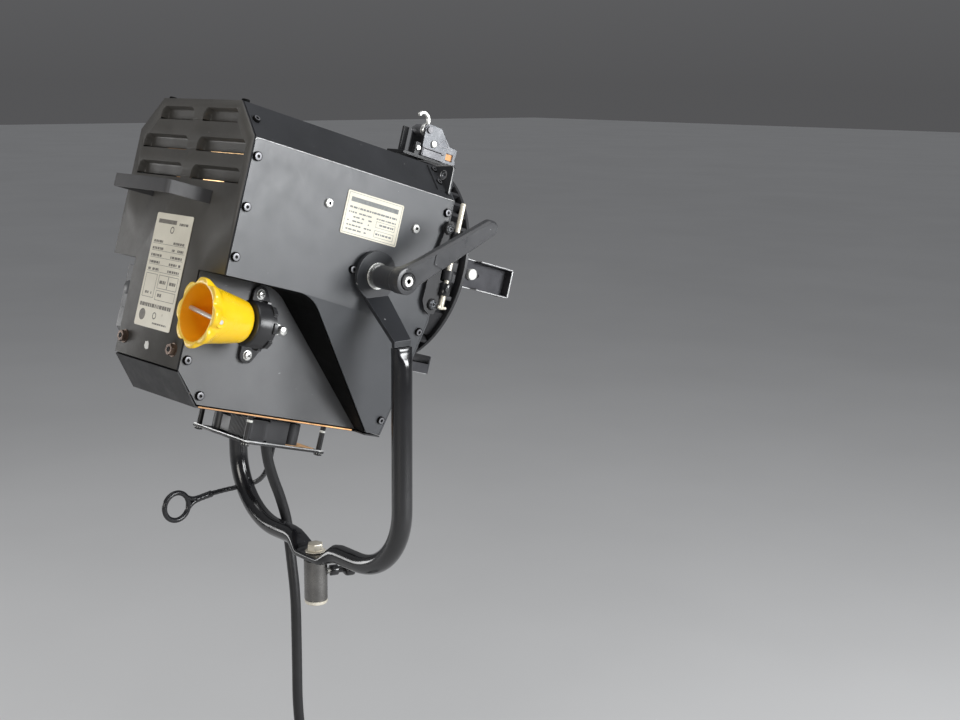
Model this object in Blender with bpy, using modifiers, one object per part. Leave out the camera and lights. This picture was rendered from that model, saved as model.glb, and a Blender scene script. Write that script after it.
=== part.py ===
"""Fresnel spotlight: sheet-metal head with a hinged lens door, tilting in a tube yoke.

Numbers are millimetres and are scaled to metres as each mesh is made.
Head frame: origin on the tilt axis, +X to the far side, +Y to the rear, +Z up.
Stand frame: the same axes with the head level, origin at the receiver's lower end.
"""
from math import atan2, cos, degrees, pi, radians, sin, tan

import bmesh
import bpy
from mathutils import Matrix, Vector

MM = 0.001
GAP = 0.3            # clearance between fitted pieces
PIVOT_H = 410.0      # tilt axis above the receiver's lower end
TILT = radians(16.3)  # head pitched down at rest

# body shell
W_MAX = 113.5        # half width of the upper body
W_TOP = 77.4         # half width of the flat top
W_REAR = 65.2        # half width of the narrow rear part
W_FOOT = 89.0        # half width at the bottom front
Z_TOP, Z_SHOULDER, Z_NOTCH, Z_BOTTOM = 140.5, 104.8, -36.0, -172.7
Y_REAR, Y_FRONT = 182.4, -94.0
NOTCH_R = 45.0       # bend where the cut-away's ceiling turns down
SHEET = 1.6

# optical axis and lens door
LENS_Z, LENS_R = 29.0, 76.3
RING_R, RING_FRONT, RING_BACK = 124.0, -125.0, -96.0
HINGE_X, HINGE_Y, ROD_R = -121.0, -101.0, 3.0

# focus cup and drive
CUP_X, CUP_Z = -104.0, -78.5
SCREW_X = -24.0
ROD_Z = CUP_Z - 18.0
LAMP_Y = 20.0

# yoke and receiver
YOKE_X, YOKE_LOW, YOKE_R, BEND_R = 164.3, -343.0, 11.5, 82.0
SADDLE = 6.5  # how much higher the bends run than the pressed middle
PLATE_X = 118.0
RECEIVER_R, BORE_R = 14.0, 8.3

HEAD = Matrix.Translation((0, 0, PIVOT_H)) @ Matrix.Rotation(TILT, 4, "X")
STAND = Matrix.Translation((0, 0, PIVOT_H))


# ---------------------------------------------------------------- mesh helpers
def placed(origin, direction):
    """Matrix whose local +Z runs along direction from origin."""
    turn = Vector(direction).normalized().to_track_quat("Z", "Y").to_matrix().to_4x4()
    return Matrix.Translation(origin) @ turn


def prism(bm, outline, axis, low, high, place=None):
    """Extrude a 2-D outline along x, y or z."""
    put = {
        "x": lambda a, b, c: (c, a, b),
        "y": lambda a, b, c: (a, c, b),
        "z": lambda a, b, c: (a, b, c),
    }[axis]
    place = place or Matrix()
    ends = [
        [bm.verts.new(place @ Vector(put(a, b, c))) for a, b in outline]
        for c in (low, high)
    ]
    bm.faces.new(ends[0])
    bm.faces.new(ends[1])
    count = len(outline)
    for i in range(count):
        j = (i + 1) % count
        bm.faces.new((ends[0][i], ends[0][j], ends[1][j], ends[1][i]))


def block(bm, x0, x1, y0, y1, z0, z1, place=None):
    prism(bm, [(x0, y0), (x1, y0), (x1, y1), (x0, y1)], "z", z0, z1, place)


def polar(bm, profile, segments, place=None):
    """Closed solid of rings about local Z; each profile entry is (radius or radius(angle), height)."""
    place = place or Matrix()
    rings = []
    for radius, height in profile:
        if radius == 0:
            rings.append([bm.verts.new(place @ Vector((0, 0, height)))])
            continue
        ring = []
        for k in range(segments):
            angle = 2 * pi * k / segments
            r = radius(angle) if callable(radius) else radius
            ring.append(bm.verts.new(place @ Vector((r * cos(angle), r * sin(angle), height))))
        rings.append(ring)
    loops = list(zip(rings, rings[1:]))
    if len(rings[0]) > 1:
        loops.append((rings[-1], rings[0]))
    for a, b in loops:
        for k in range(segments):
            m = (k + 1) % segments
            quad = [a[k % len(a)], a[m % len(a)], b[m % len(b)], b[k % len(b)]]
            quad = [v for i, v in enumerate(quad) if v not in quad[:i]]
            bm.faces.new(quad)


def rod(bm, start, end, radius, segments=12):
    start, end = Vector(start), Vector(end)
    polar(bm, [(0, 0), (radius, 0), (radius, (end - start).length), (0, (end - start).length)],
          segments, placed(start, end - start))


def screw(bm, at, normal, radius=4.6, height=2.6, socket=1.9):
    """Button head with a socket, fused into the surface it clamps."""
    polar(bm, [(0, -0.6), (radius, -0.6), (radius, height * 0.6), (radius * 0.75, height),
               (socket, height), (socket, height - 1.3), (0, height - 1.3)],
          8, placed(at, normal))


def hexagon(radius, y=0.0, z=0.0):
    return [(y + radius * cos(pi / 3 * k), z + radius * sin(pi / 3 * k)) for k in range(6)]


def arc(cx, cy, radius, start, stop, steps):
    """Points on an arc, angles in degrees."""
    return [(cx + radius * cos(radians(start + (stop - start) * k / steps)),
             cy + radius * sin(radians(start + (stop - start) * k / steps))) for k in range(steps + 1)]


def hull(points):
    """Convex outline round a set of 2-D points."""
    points = sorted(set((round(a, 4), round(b, 4)) for a, b in points))

    def half(run):
        out = []
        for p in run:
            while len(out) > 1 and ((out[-1][0] - out[-2][0]) * (p[1] - out[-2][1])
                                    - (out[-1][1] - out[-2][1]) * (p[0] - out[-2][0])) <= 0:
                out.pop()
            out.append(p)
        return out[:-1]

    return half(points) + half(points[::-1])


def smooth(points, step):
    """Evenly spaced points on a Catmull-Rom curve through hand-set ones."""
    pts = [Vector(p) for p in points]
    pts = [2 * pts[0] - pts[1]] + pts + [2 * pts[-1] - pts[-2]]
    dense = []
    for p0, p1, p2, p3 in zip(pts, pts[1:], pts[2:], pts[3:]):
        for k in range(40):
            t = k / 40
            dense.append(0.5 * (2 * p1 + (p2 - p0) * t + (2 * p0 - 5 * p1 + 4 * p2 - p3) * t * t
                                + (3 * p1 - p0 - 3 * p2 + p3) * t ** 3))
    dense.append(pts[-2])
    out, run = [dense[0]], 0.0
    for a, b in zip(dense, dense[1:]):
        run += (b - a).length
        if run >= step:
            out.append(b)
            run = 0.0
    if (out[-1] - dense[-1]).length < step * 0.5:
        out.pop()
    return out + [dense[-1]]


# ------------------------------------------------------------- object helpers
MODEL = "fresnel_spotlight"


def collection():
    if MODEL not in bpy.data.collections:
        bpy.context.scene.collection.children.link(bpy.data.collections.new(MODEL))
    return bpy.data.collections[MODEL]


def axis_empty(name, at, frame, parent=None):
    empty = bpy.data.objects.new(name, None)
    empty.empty_display_size = 0.02
    collection().objects.link(empty)
    empty.matrix_world = Matrix.Scale(MM, 4) @ frame @ Matrix.Translation(at) @ Matrix.Scale(1 / MM, 4)
    bpy.context.view_layer.update()
    if parent:
        keep = empty.matrix_world.copy()
        empty.parent = parent
        empty.matrix_parent_inverse = parent.matrix_world.inverted()
        empty.matrix_world = keep
    return empty


def raw(name, bm, frame):
    bmesh.ops.recalc_face_normals(bm, faces=bm.faces)
    bm.transform(Matrix.Scale(MM, 4) @ frame)
    mesh = bpy.data.meshes.new(name)
    bm.to_mesh(mesh)
    bm.free()
    obj = bpy.data.objects.new(name, mesh)
    collection().objects.link(obj)
    return obj


def bake(obj):
    """Replace an object's mesh with its evaluated, cleaned one."""
    bpy.context.view_layer.update()
    done = bpy.data.meshes.new_from_object(obj.evaluated_get(bpy.context.evaluated_depsgraph_get()))
    obj.modifiers.clear()
    obj.data = done
    bm = bmesh.new()
    bm.from_mesh(done)
    bmesh.ops.remove_doubles(bm, verts=bm.verts, dist=2e-6)
    bmesh.ops.dissolve_degenerate(bm, edges=bm.edges, dist=1e-6)
    bmesh.ops.dissolve_limit(bm, angle_limit=radians(0.3), verts=bm.verts, edges=bm.edges)
    bm.to_mesh(done)
    bm.free()


def combine(obj, tools, frame, operation):
    """Boolean an object with solids drawn in bmeshes, one at a time."""
    for tool_bm in tools:
        tool = raw("tool", tool_bm, frame)
        mod = obj.modifiers.new("cut", "BOOLEAN")
        mod.solver = "EXACT"
        mod.operation = operation
        mod.object = tool
        bake(obj)
        bpy.data.objects.remove(tool)


def shape(draw, *args):
    bm = bmesh.new()
    draw(bm, *args)
    return bm


def keep(obj, parent):
    obj.name = obj.data.name = obj.name
    bpy.context.view_layer.update()
    obj.parent = parent
    obj.matrix_parent_inverse = parent.matrix_world.inverted()
    return obj


def make(name, bm, parent, frame=HEAD, add=(), cut=()):
    obj = raw(name, bm, frame)
    combine(obj, add, frame, "UNION")
    combine(obj, cut, frame, "DIFFERENCE")
    return keep(obj, parent)


def folded(name, points, faces, outward, parent, thickness=SHEET, add=(), cut=()):
    """A folded sheet: outer surface given by points and faces, thickness laid on the inside."""
    bm = bmesh.new()
    verts = [bm.verts.new(p) for p in points]
    for face in faces:
        bm.faces.new([verts[i] for i in face])
    bmesh.ops.recalc_face_normals(bm, faces=bm.faces)
    bm.faces.ensure_lookup_table()
    if bm.faces[0].normal.dot(Vector(outward)) < 0:
        bmesh.ops.reverse_faces(bm, faces=bm.faces)
    bm.transform(Matrix.Scale(MM, 4) @ HEAD)
    mesh = bpy.data.meshes.new(name)
    bm.to_mesh(mesh)
    bm.free()
    obj = bpy.data.objects.new(name, mesh)
    collection().objects.link(obj)
    mod = obj.modifiers.new("sheet", "SOLIDIFY")
    mod.thickness = thickness * MM
    mod.offset = -1
    mod.use_even_offset = True
    bake(obj)
    combine(obj, add, HEAD, "UNION")
    combine(obj, cut, HEAD, "DIFFERENCE")
    return keep(obj, parent)


def side_name(side):
    return "near" if side < 0 else "far"


# ------------------------------------------------------------------- the body
def body_width(z):
    """Half width of the lower front skin at a height."""
    return W_MAX - (W_MAX - W_FOOT) * (Z_NOTCH - z) / (Z_NOTCH - Z_BOTTOM)


def chamfer_height(x):
    """Height of the sloping shoulder at a distance from the middle."""
    return Z_SHOULDER + GAP + (W_MAX - x) * (Z_TOP - Z_SHOULDER) / (W_MAX - W_TOP)


def top_wrap(head):
    inset = SHEET * 1.41
    outline = [(-W_MAX, Z_SHOULDER + GAP), (-W_TOP, Z_TOP), (W_TOP, Z_TOP), (W_MAX, Z_SHOULDER + GAP),
               (W_MAX - inset, Z_SHOULDER + GAP), (W_TOP - 0.7, Z_TOP - SHEET),
               (-W_TOP + 0.7, Z_TOP - SHEET), (-W_MAX + inset, Z_SHOULDER + GAP)]
    heads = bmesh.new()
    for side in (-1, 1):
        screw(heads, (side * 95.0, 173.0, chamfer_height(95.0)), (side, 0, 1.01), 3.8)
        screw(heads, (side * 72.0, 175.0, Z_TOP), (0, 0, 1), 3.8)
    for x_at in (85.6, 99.4):
        screw(heads, (1.2 - x_at, -77.0, chamfer_height(x_at) + 1.6), (-1, 0, 1.01), 3.6)
    foot = shape(prism, [(-80, chamfer_height(80) - 0.6), (-107, chamfer_height(107) - 0.6),
                         (-108.2, chamfer_height(107) + 1.2), (-81.2, chamfer_height(80) + 1.2)], "y", -86.0,
                         -70.0)
    lug = shape(prism, [(-80.0, chamfer_height(80) - 0.5), (-81.0, 140.8), (-108.6, 142.4), (-111.4, 139.6),
                        (-111.6, 110.0), (-110.0, chamfer_height(110) - 0.5)], "y", -86.6, -83.6)
    hole = shape(rod, (-96.5, -95, 131.2), (-96.5, -75, 131.2), 4.6, 18)
    make("top_wrap", shape(prism, outline, "y", Y_FRONT + 2.3, Y_REAR - 2.3), head, add=[heads, foot, lug],
         cut=[hole])


def notch_curve(y, foot, steps=6):
    """(y, z) points where the cut-away's ceiling bends into its slanted front, meeting the floor at y = foot."""
    slope = atan2(Z_NOTCH - Z_BOTTOM, y - foot)
    reach = NOTCH_R * tan(slope / 2)
    return arc(y + reach, Z_NOTCH - NOTCH_R, NOTCH_R, 90, 90 + degrees(slope), steps)


def side_panel(head, side):
    x = side * W_MAX
    front, rear = Y_FRONT + 2.3, Y_REAR - 2.3
    mid = -143.0
    curve = [(side * body_width(z), y, z) for y, z in notch_curve(71.0, -60.0)]
    points = [(x, rear, Z_SHOULDER), (x, front, Z_SHOULDER), (x, front, Z_NOTCH), (x, rear, Z_NOTCH),
              (side * W_FOOT, -60.0, Z_BOTTOM), (side * W_FOOT, -78.7, Z_BOTTOM),
              (side * body_width(mid), -82.3, mid)] + curve
    lower = [2, 6, 5, 4] + list(range(len(points) - 1, 6, -1))
    hole = shape(rod, (x - 5 * side, 0, 0), (x + 5 * side, 0, 0), 6.6, 16)
    folded("side_panel_" + side_name(side), points, [(0, 1, 2, 7, 3), lower],
           (side, 0, 0), head, cut=[hole], add=[side_screws(side)])


def side_screws(side):
    bm = bmesh.new()
    spots = [(174.5, 86.3), (174.5, 34.9), (174.5, -16.1), (76.9, 61.9), (-45.6, 61.9), (-86.0, 89.1),
             (27.5, 0.8)]
    for y, z in spots:
        screw(bm, (side * W_MAX, y, z), (side, 0, 0))
    for y, z in ((-84.0, -48.9), (-74.0, -156.0)):
        screw(bm, (side * body_width(z), y, z), (side, 0, -0.18), 4.0)
    return bm


def notch_lining(head, side):
    """Ceiling of the cut-away rear corner and the slanted wall in front of it."""
    inner, rear = W_REAR + GAP, Y_REAR - 2.3
    outer_line = notch_curve(72.5, -58.5) + [(-58.5, Z_BOTTOM)]
    inner_line = notch_curve(85.0, -61.5) + [(-61.5, Z_BOTTOM)]
    points = [(side * (W_MAX - 1.9), rear, Z_NOTCH), (side * inner, rear, Z_NOTCH)]
    for (ya, za), (yb, zb) in zip(outer_line, inner_line):
        points += [(side * (body_width(za) - 1.9), ya, za), (side * inner, yb, zb)]
    faces = [(0, 2, 3, 1)]
    for k in range(2, len(points) - 2, 2):
        faces += [(k, k + 2, k + 1), (k + 1, k + 2, k + 3)]
    folded("notch_lining_" + side_name(side), points, faces, (0, 0, -1), head)


def recess_panel(head, side):
    curve = [(y - 0.4, z - GAP) for y, z in notch_curve(82.5, -62.5)]
    outline = [(Y_REAR - 2.3, Z_NOTCH - GAP)] + curve + [(-62.8, Z_BOTTOM), (150.2, Z_BOTTOM),
                                                         (Y_REAR - 2.3, -141.0)]
    bm = shape(prism, outline, "x", side * (W_REAR - SHEET), side * W_REAR)
    cut = []
    if side < 0:
        cut.append(shape(rod, (-70, 112, CUP_Z), (-60, 112, CUP_Z), 9.0, 16))
    heads = bmesh.new()
    for y, z in ((173.0, -129.0), (149.5, -163.0)):
        screw(heads, (side * W_REAR, y, z), (side, 0, 0))
    make("recess_panel_" + side_name(side), bm, head, add=[heads], cut=cut)


LOUVRES = [(77.0, 131.0, 118.3), (101.5, 100.0, 86.5), (102.5, 70.3, 56.6)]


def rear_plate(head):
    outline = [(-W_TOP, Z_TOP), (W_TOP, Z_TOP), (W_MAX, Z_SHOULDER), (W_MAX, Z_NOTCH),
               (W_REAR, Z_NOTCH), (W_REAR, -140.5), (-W_REAR, -140.5), (-W_REAR, Z_NOTCH),
               (-W_MAX, Z_NOTCH), (-W_MAX, Z_SHOULDER)]
    face, back = Y_REAR, Y_REAR - 2.0
    hoods, scoops = [], []
    for wide, top, low in LOUVRES:
        for side in (-1, 1):
            a, b = sorted((side * 9.5, side * wide))
            hoods.append(shape(prism, [(back + 1, top + 0.6), (back + 1, low), (face - 12, low)],
                               "x", a - 1.4, b + 1.4))
            scoops.append(shape(prism, [(face + 1, top), (face + 1, low), (back - 0.02, low),
                                        (back - 0.02, low - 1), (face - 10.6, low - 1)], "x", a, b))
    posts = bmesh.new()
    for x in (-51.0, 51.0):
        prism(posts, hexagon(6.2), "y", face - 0.6, face + 6.5, Matrix.Translation((x, 0, -122)))
    make("rear_plate", shape(prism, outline, "y", back, face), head, add=hoods + [posts], cut=scoops)


def bottom_tray(head):
    z = Z_BOTTOM - 3.3
    points = [(W_REAR, Y_REAR - 1.2, -142.8), (-W_REAR, Y_REAR - 1.2, -142.8), (-W_REAR, 151.5, z),
              (W_REAR, 151.5, z),
              (-W_REAR, -61.0, z), (-W_FOOT, -59.0, z), (-W_FOOT, -80.5, z),
              (W_FOOT, -80.5, z), (W_FOOT, -59.0, z), (W_REAR, -61.0, z)]
    folded("bottom_tray", points, [(0, 1, 2, 3), (3, 2, 4, 5, 6, 7, 8, 9)], (0, 1, -0.6), head,
           add=[shape(block, 62, 87, -62.5, -23, z + 0.05, z + 1.5)],
           cut=[shape(block, -40, 40, -20, 62, z - 5, z + 5)])


def front_frame(head):
    low = Z_BOTTOM - 1.0
    points = [(-W_MAX, Y_FRONT, Z_NOTCH), (-W_MAX, Y_FRONT, Z_SHOULDER), (-W_TOP, Y_FRONT, Z_TOP),
              (W_TOP, Y_FRONT, Z_TOP), (W_MAX, Y_FRONT, Z_SHOULDER), (W_MAX, Y_FRONT, Z_NOTCH),
              (body_width(-143), -84.6, -143.0), (-body_width(-143), -84.6, -143.0),
              (-W_FOOT, -81.0, low), (W_FOOT, -81.0, low)]
    hole = shape(rod, (0, Y_FRONT - 10, LENS_Z), (0, Y_FRONT + 25, LENS_Z), 88.0, 48)
    folded("front_frame", points, [(0, 1, 2, 3, 4, 5), (0, 5, 6, 7), (7, 6, 9, 8)], (0, -1, 0), head,
           thickness=2.0, cut=[hole])


def rear_fittings(head):
    rear = Y_REAR + GAP
    outer = [(-60.0, rear)] + arc(-50.0, 226.3, 6.5, 176, 90, 4) + arc(50.0, 226.3, 6.5, 90, 4,
                                                                       4) + [(60.0, rear)]
    inner = [(56.2, rear)] + arc(50.0, 226.3, 3.0, 4, 90, 3) + arc(-50.0, 226.3, 3.0, 90, 176,
                                                                   3) + [(-56.2, rear)]
    make("rear_handle", shape(prism, outer + inner, "z", 32.0, 45.8), head)
    make("rating_plate", shape(prism, [(-37, -106.5), (37, -106.5), (37, 16), (-37, 16)], "y",
                               rear, rear + 0.7), head)


def makers_plate(head):
    x = -W_MAX - GAP
    make("makers_plate", shape(prism, [(-23, 35.6), (55.4, 35.6), (55.4, 82.1), (-23, 82.1)], "x",
                               x - 0.6, x), head)


def junction_box(head):
    outline = [(176, -45), (176, -114), (165, -126), (96, -126), (96, -45)]
    plug = shape(polar, [(0, -1), (7.5, -1), (7.5, 2.5), (5.5, 4), (0, 4)], 16,
                 placed((76, 176, -70), (0, 1, 0)))
    label = shape(prism, [(69, -112), (84, -112), (84, -92), (69, -92)], "y", 175.5, 176.5)
    make("junction_box", shape(prism, outline, "x", W_REAR + GAP, 87.0), head, add=[plug, label])


def vent_unit(head):
    top = -206.0
    corner = arc(47, 68, 8, 0, 90, 3) + arc(-47, 68, 8, 90, 180, 3) \
        + arc(-47, -30, 8, 180, 270, 3) + arc(47, -30, 8, 270, 360, 3)
    under = Z_BOTTOM - 3.3 - GAP
    posts = bmesh.new()
    for x, y in [(-48, 69), (48, 69), (-48, -31), (48, -31)]:
        polar(posts, [(0, under), (3.2, under), (3.2, top - 0.8), (4.8, top - 0.8), (4.8, top - 4.5),
                      (0, top - 5.5)], 10, Matrix.Translation((x, y, 0)))
    slots = [shape(block, -30, 30, y - 2.5, y + 2.5, top - 5, top + 5) for y in (-8, 6, 34, 48)]
    make("vent_plate", shape(prism, corner, "z", top - 1.6, top), head, add=[posts], cut=slots)
    low, high = top + GAP, under - 0.5
    fins = shape(block, -46, -40, 44, 62, low, high - 4)
    make("vent_finned_block", fins, head,
         add=[shape(block, -41, -22, 44 + 3.6 * k, 46 + 3.6 * k, low, high - 4) for k in range(6)])
    make("vent_terminal_box", shape(block, -46, -16, 14, 40, low, high - 2), head)
    make("vent_capacitor", shape(rod, (-34, 2, low), (-34, 2, high - 3), 9.5, 16), head)


GLAND = (72.0, -40.0)
ANCHOR = (80.0, -66.0)


def cable_gland(head):
    z = Z_BOTTOM - 3.3 - GAP
    bm = bmesh.new()
    place = Matrix.Translation((GLAND[0], GLAND[1], z)) @ Matrix.Rotation(pi, 4, "X")
    polar(bm, [(0, 0), (12.5, 0), (12.5, 5), (10.5, 5.5), (10.5, 12), (8.2, 18), (7.2, 18), (7.2, 8), (0, 8)],
          12, place)
    make("cable_gland", bm, head)
    bm = bmesh.new()
    place = Matrix.Translation((ANCHOR[0], ANCHOR[1], z)) @ Matrix.Rotation(pi, 4, "X")
    polar(bm, [(0, 0), (6.5, 0), (6.5, 4), (4.0, 5), (4.0, 9), (0, 9)], 12, place)
    make("safety_anchor", bm, head)


# ------------------------------------------------------------ tilt and hinges
def tilt_bosses(head):
    for side in (-1, 1):
        reach = 36.0 if side < 0 else 16.5
        bm = bmesh.new()
        polar(bm, [(0, -6), (6, -6), (6, GAP), (20, GAP), (20, PLATE_X - W_MAX - GAP),
                   (6, PLATE_X - W_MAX - GAP),
                   (6, reach - 2), (5, reach), (0, reach)], 24, placed((side * W_MAX, 0, 0), (side, 0, 0)))
        make("tilt_boss_" + side_name(side), bm, head)
    bm = bmesh.new()
    x = PLATE_X + 5 + GAP
    polar(bm, [(0, 0), (13, 0), (13, 2), (0, 2)], 20, placed((x, 0, 0), (1, 0, 0)))
    make("far_pivot_nut", bm, head, add=[shape(prism, hexagon(10.5), "x", x + 1, x + 9.5)],
         cut=[shape(rod, (x - 3, 0, 0), (x + 15, 0, 0), 6.3, 20)])


def hinge_screws():
    bm = bmesh.new()
    for y, z in ((-89.0, 71.5), (-88.0, -15.5)):
        screw(bm, (-119.0, y, z), (-1, 0, 0), 6.2, 3.6, 2.6)
        polar(bm, [(0, 0), (6, 0), (6, 3.4), (0, 3.4)], 10, placed((-W_MAX - GAP, y, z), (-1, 0, 0)))
    return bm


def hinge(head):
    x = HINGE_X
    outline = [(-97, 56), (-97, 76), (-93, 81), (-87, 80), (-75, 22), (-74, -14), (-79, -23), (-86, -27),
               (-94, -26), (-97.5, -18), (-97.5, 11.5), (-92.5, 14), (-92.5, 53)]
    knuckles = []
    for low, high in ((-3.0, 11.5), (56.0, 70.0)):
        arm = hull(arc(x, HINGE_Y, 5.8, 0, 360, 14) + [(x + 2, -95), (x + 6, -95)])
        knuckles.append(shape(prism, arm, "z", low, high))
    bore = shape(rod, (x, HINGE_Y, -40), (x, HINGE_Y, 120), ROD_R + GAP, 14)
    make("hinge_bracket", shape(prism, outline, "x", -119.0, -W_MAX - 3.2), head,
         add=knuckles + [hinge_screws()], cut=[bore])
    bm = bmesh.new()
    polar(bm, [(0, -19), (2.4, -19), (ROD_R, -18), (ROD_R, 103), (2.4, 104), (0, 104)], 16,
          Matrix.Translation((x, HINGE_Y, 0)))
    make("hinge_rod", bm, head, add=[shape(rod, (x - 0.4, HINGE_Y - 7, -16.5), (x - 0.4, HINGE_Y + 5.5, -16.5),
                                           1.7, 12)])


def tube(name, path, radius, parent, frame, resolution=2):
    """Round bar along a poly curve, turned into a mesh."""
    curve = bpy.data.curves.new(name, "CURVE")
    curve.dimensions = "3D"
    curve.bevel_depth = radius * MM
    curve.bevel_resolution = resolution
    curve.use_fill_caps = True
    spline = curve.splines.new("POLY")
    spline.points.add(len(path) - 1)
    for point, at in zip(spline.points, path):
        point.co = (*(MM * (frame @ Vector(at))), 1)
    drawn = bpy.data.objects.new(name + "_curve", curve)
    collection().objects.link(drawn)
    bpy.context.view_layer.update()
    mesh = bpy.data.meshes.new_from_object(drawn.evaluated_get(bpy.context.evaluated_depsgraph_get()))
    bpy.data.objects.remove(drawn)
    bm = bmesh.new()
    bm.from_mesh(mesh)
    bmesh.ops.remove_doubles(bm, verts=bm.verts, dist=1e-6)
    bmesh.ops.recalc_face_normals(bm, faces=bm.faces)
    bm.to_mesh(mesh)
    bm.free()
    mesh.name = name
    obj = bpy.data.objects.new(name, mesh)
    collection().objects.link(obj)
    return keep(obj, parent)


# ------------------------------------------------------------- lamp and focus
LUGS = [(105.0, -46.6), (105.5, -112.5), (66.0, -80.6)]


def gearbox_screws():
    bm = bmesh.new()
    x = -W_REAR - GAP - 4
    for y, z in LUGS[:2]:
        screw(bm, (x, y, z), (-1, 0, 0), 5.0, 3.4, 1.6)
    screw(bm, (x, *LUGS[2]), (-1, 0, 0), 4.6, 11.0, 1.8)
    return bm


def focus_gearbox(head):
    outline = hull([p for y, z in LUGS for p in arc(y, z, 8.5, 0, 360, 12)])
    x = -W_REAR - GAP
    flange = shape(prism, outline, "x", x - 4, x)
    neck = shape(rod, (x - 2, 112, CUP_Z), (CUP_X + 4, 112, CUP_Z), 17.0, 24)
    boss = shape(polar, [(0, 98), (21, 98), (24, 101), (24, 137), (22.5, 139), (0, 139)], 32,
                 placed((CUP_X, 0, CUP_Z), (0, 1, 0)))
    bore = shape(rod, (CUP_X, 108, CUP_Z), (CUP_X, 150, CUP_Z), 5.3, 16)
    make("focus_gearbox", flange, head, add=[neck, boss, gearbox_screws()], cut=[bore])


def focus_cup(cup):
    def lobed(base, depth):
        return lambda a: base + depth * (max(0.0, cos(8 * a)) ** 0.8 + 0.3 * min(0.0, cos(8 * a)))

    profile = [(0, 112), (5, 112), (5, 142), (18, 142), (21.5, 145), (23.5, 155), (28.5, 176),
               (lobed(29.8, 2.6), 180), (lobed(31.5, 4.2), 195), (lobed(31.2, 4.8), 199), (30.2, 199.5),
               (29.0, 196), (25.0, 172), (19.0, 150), (0, 149)]
    bm = shape(polar, profile, 48, placed((CUP_X, 0, CUP_Z), (0, 1, 0)))
    a, b = pin_ends()
    make("focus_cup", bm, cup, cut=[shape(rod, a * 1.0, b * 1.0, 2.5, 12)])
    a, b = pin_ends(31.6)
    make("cup_pin", shape(rod, a, b, 2.2, 12), cup)


def pin_ends(reach=45.0, y=188.0):
    turn = radians(7)
    d = Vector((cos(turn), 0, sin(turn)))
    at = Vector((CUP_X, y, CUP_Z))
    return at - d * reach, at + d * reach


def drive(shaft, lead, head):
    bm = bmesh.new()
    polar(bm, [(0, 0), (6, 0), (6, 22), (12, 22), (8, 27), (0, 27)], 18,
          placed((-W_REAR + SHEET - 1.3, 112, CUP_Z), (1, 0, 0)))
    make("cross_shaft", bm, shaft)
    bm = bmesh.new()
    polar(bm, [(0, -86), (5, -86), (5, 92), (8, 93), (12, 98), (5, 98), (5, 150), (0, 150)], 18,
          placed((SCREW_X, 0, CUP_Z), (0, 1, 0)))
    make("lead_screw", bm, lead)
    for side in (-1, 1):
        make("guide_rod_" + side_name(side),
             shape(rod, (44 * side, -80, ROD_Z), (44 * side, 176, ROD_Z), 4.0, 12), head)


def carriage(slide):
    y = LAMP_Y
    bores = [shape(rod, (x, y - 40, z), (x, y + 40, z), r, 16)
             for x, z, r in ((-44, ROD_Z, 4.3), (44, ROD_Z, 4.3), (SCREW_X, CUP_Z, 5.3))]
    make("carriage", shape(block, -54, 54, y - 18, y + 22, CUP_Z - 25, CUP_Z + 9), slide, cut=bores)
    top = CUP_Z + 9 + GAP
    bm = bmesh.new()
    block(bm, -20, 20, y - 13, y + 13, top, top + 24)
    make("lampholder", bm, slide)
    bm = bmesh.new()
    base = top + 24 + GAP
    polar(bm, [(0, base), (11, base), (11, base + 22), (13.5, base + 26), (13.5, LENS_Z + 20),
               (9, LENS_Z + 28),
               (3, LENS_Z + 31), (0, LENS_Z + 32)], 20, Matrix.Translation((0, y, 0)))
    make("lamp", bm, slide)
    outer = [(56 * sin(radians(a)), 56 * cos(radians(a))) for a in (50, 40, 30, 20, 10)]
    inner = [(54.6 * sin(radians(a)), 54.6 * cos(radians(a))) for a in (10, 20, 30, 40, 50)]
    bm = shape(polar, [(0, 54.6)] + inner + outer + [(0, 56)], 28, placed((0, y, LENS_Z), (0, 1, 0)))
    strap = shape(block, -7, 7, y + 40, y + 42, top, LENS_Z - 20)
    foot = shape(block, -7, 7, y + 14, y + 42, top, top + 2)
    make("reflector", bm, slide, add=[strap, foot])


# ------------------------------------------------------------------ lens door
def finned(angle):
    """Outer radius of the door ring's cooling zone, angle from +X."""
    turn = (360.0 * angle / (2 * pi)) % 360
    mirror = turn if turn <= 90 or turn >= 270 else (180 - turn) % 360
    in_fins = 18 <= mirror <= 62 or 292 <= mirror <= 318
    step = int(turn / 2.5 + 0.5) % 3
    if in_fins:
        return 123.0 if step == 0 else 113.0
    return 113.5 if 154 <= turn <= 206 else 118.0


def door_ring(door):
    at = placed((0, 0, LENS_Z), (0, -1, 0))
    # local height runs forward; angle is measured about the beam

    def turned(angle):
        p = at @ Vector((cos(angle), sin(angle), 0)) - at @ Vector((0, 0, 0))
        return finned(atan2(p.z, p.x) % (2 * pi))

    f, b = -RING_FRONT, -RING_BACK
    profile = [(84, b), (110, b), (112, b + 3.5), (turned, b + 3.5), (turned, f - 4.5), (RING_R - 1, f - 4.5),
               (RING_R, f - 3.5), (RING_R, f), (72.5, f), (72.5, f - 3.8), (77.0, f - 3.8), (77.0, b + 6),
               (84, b + 6)]
    bm = shape(polar, profile, 144, at)
    ears = []
    for low, high in ((15.0, 26.0), (40.0, 52.0)):
        arm = hull(arc(HINGE_X, HINGE_Y, 5.8, 0, 360, 14))
        ears.append(shape(prism, arm, "z", low, high))
        ears.append(shape(block, HINGE_X, -106.0, HINGE_Y - 5.6, HINGE_Y - 1.5, low, high))
    bore = shape(rod, (HINGE_X, HINGE_Y, -40), (HINGE_X, HINGE_Y, 120), ROD_R + GAP, 14)
    make("door_ring", bm, door, add=ears, cut=[bore])


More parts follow.
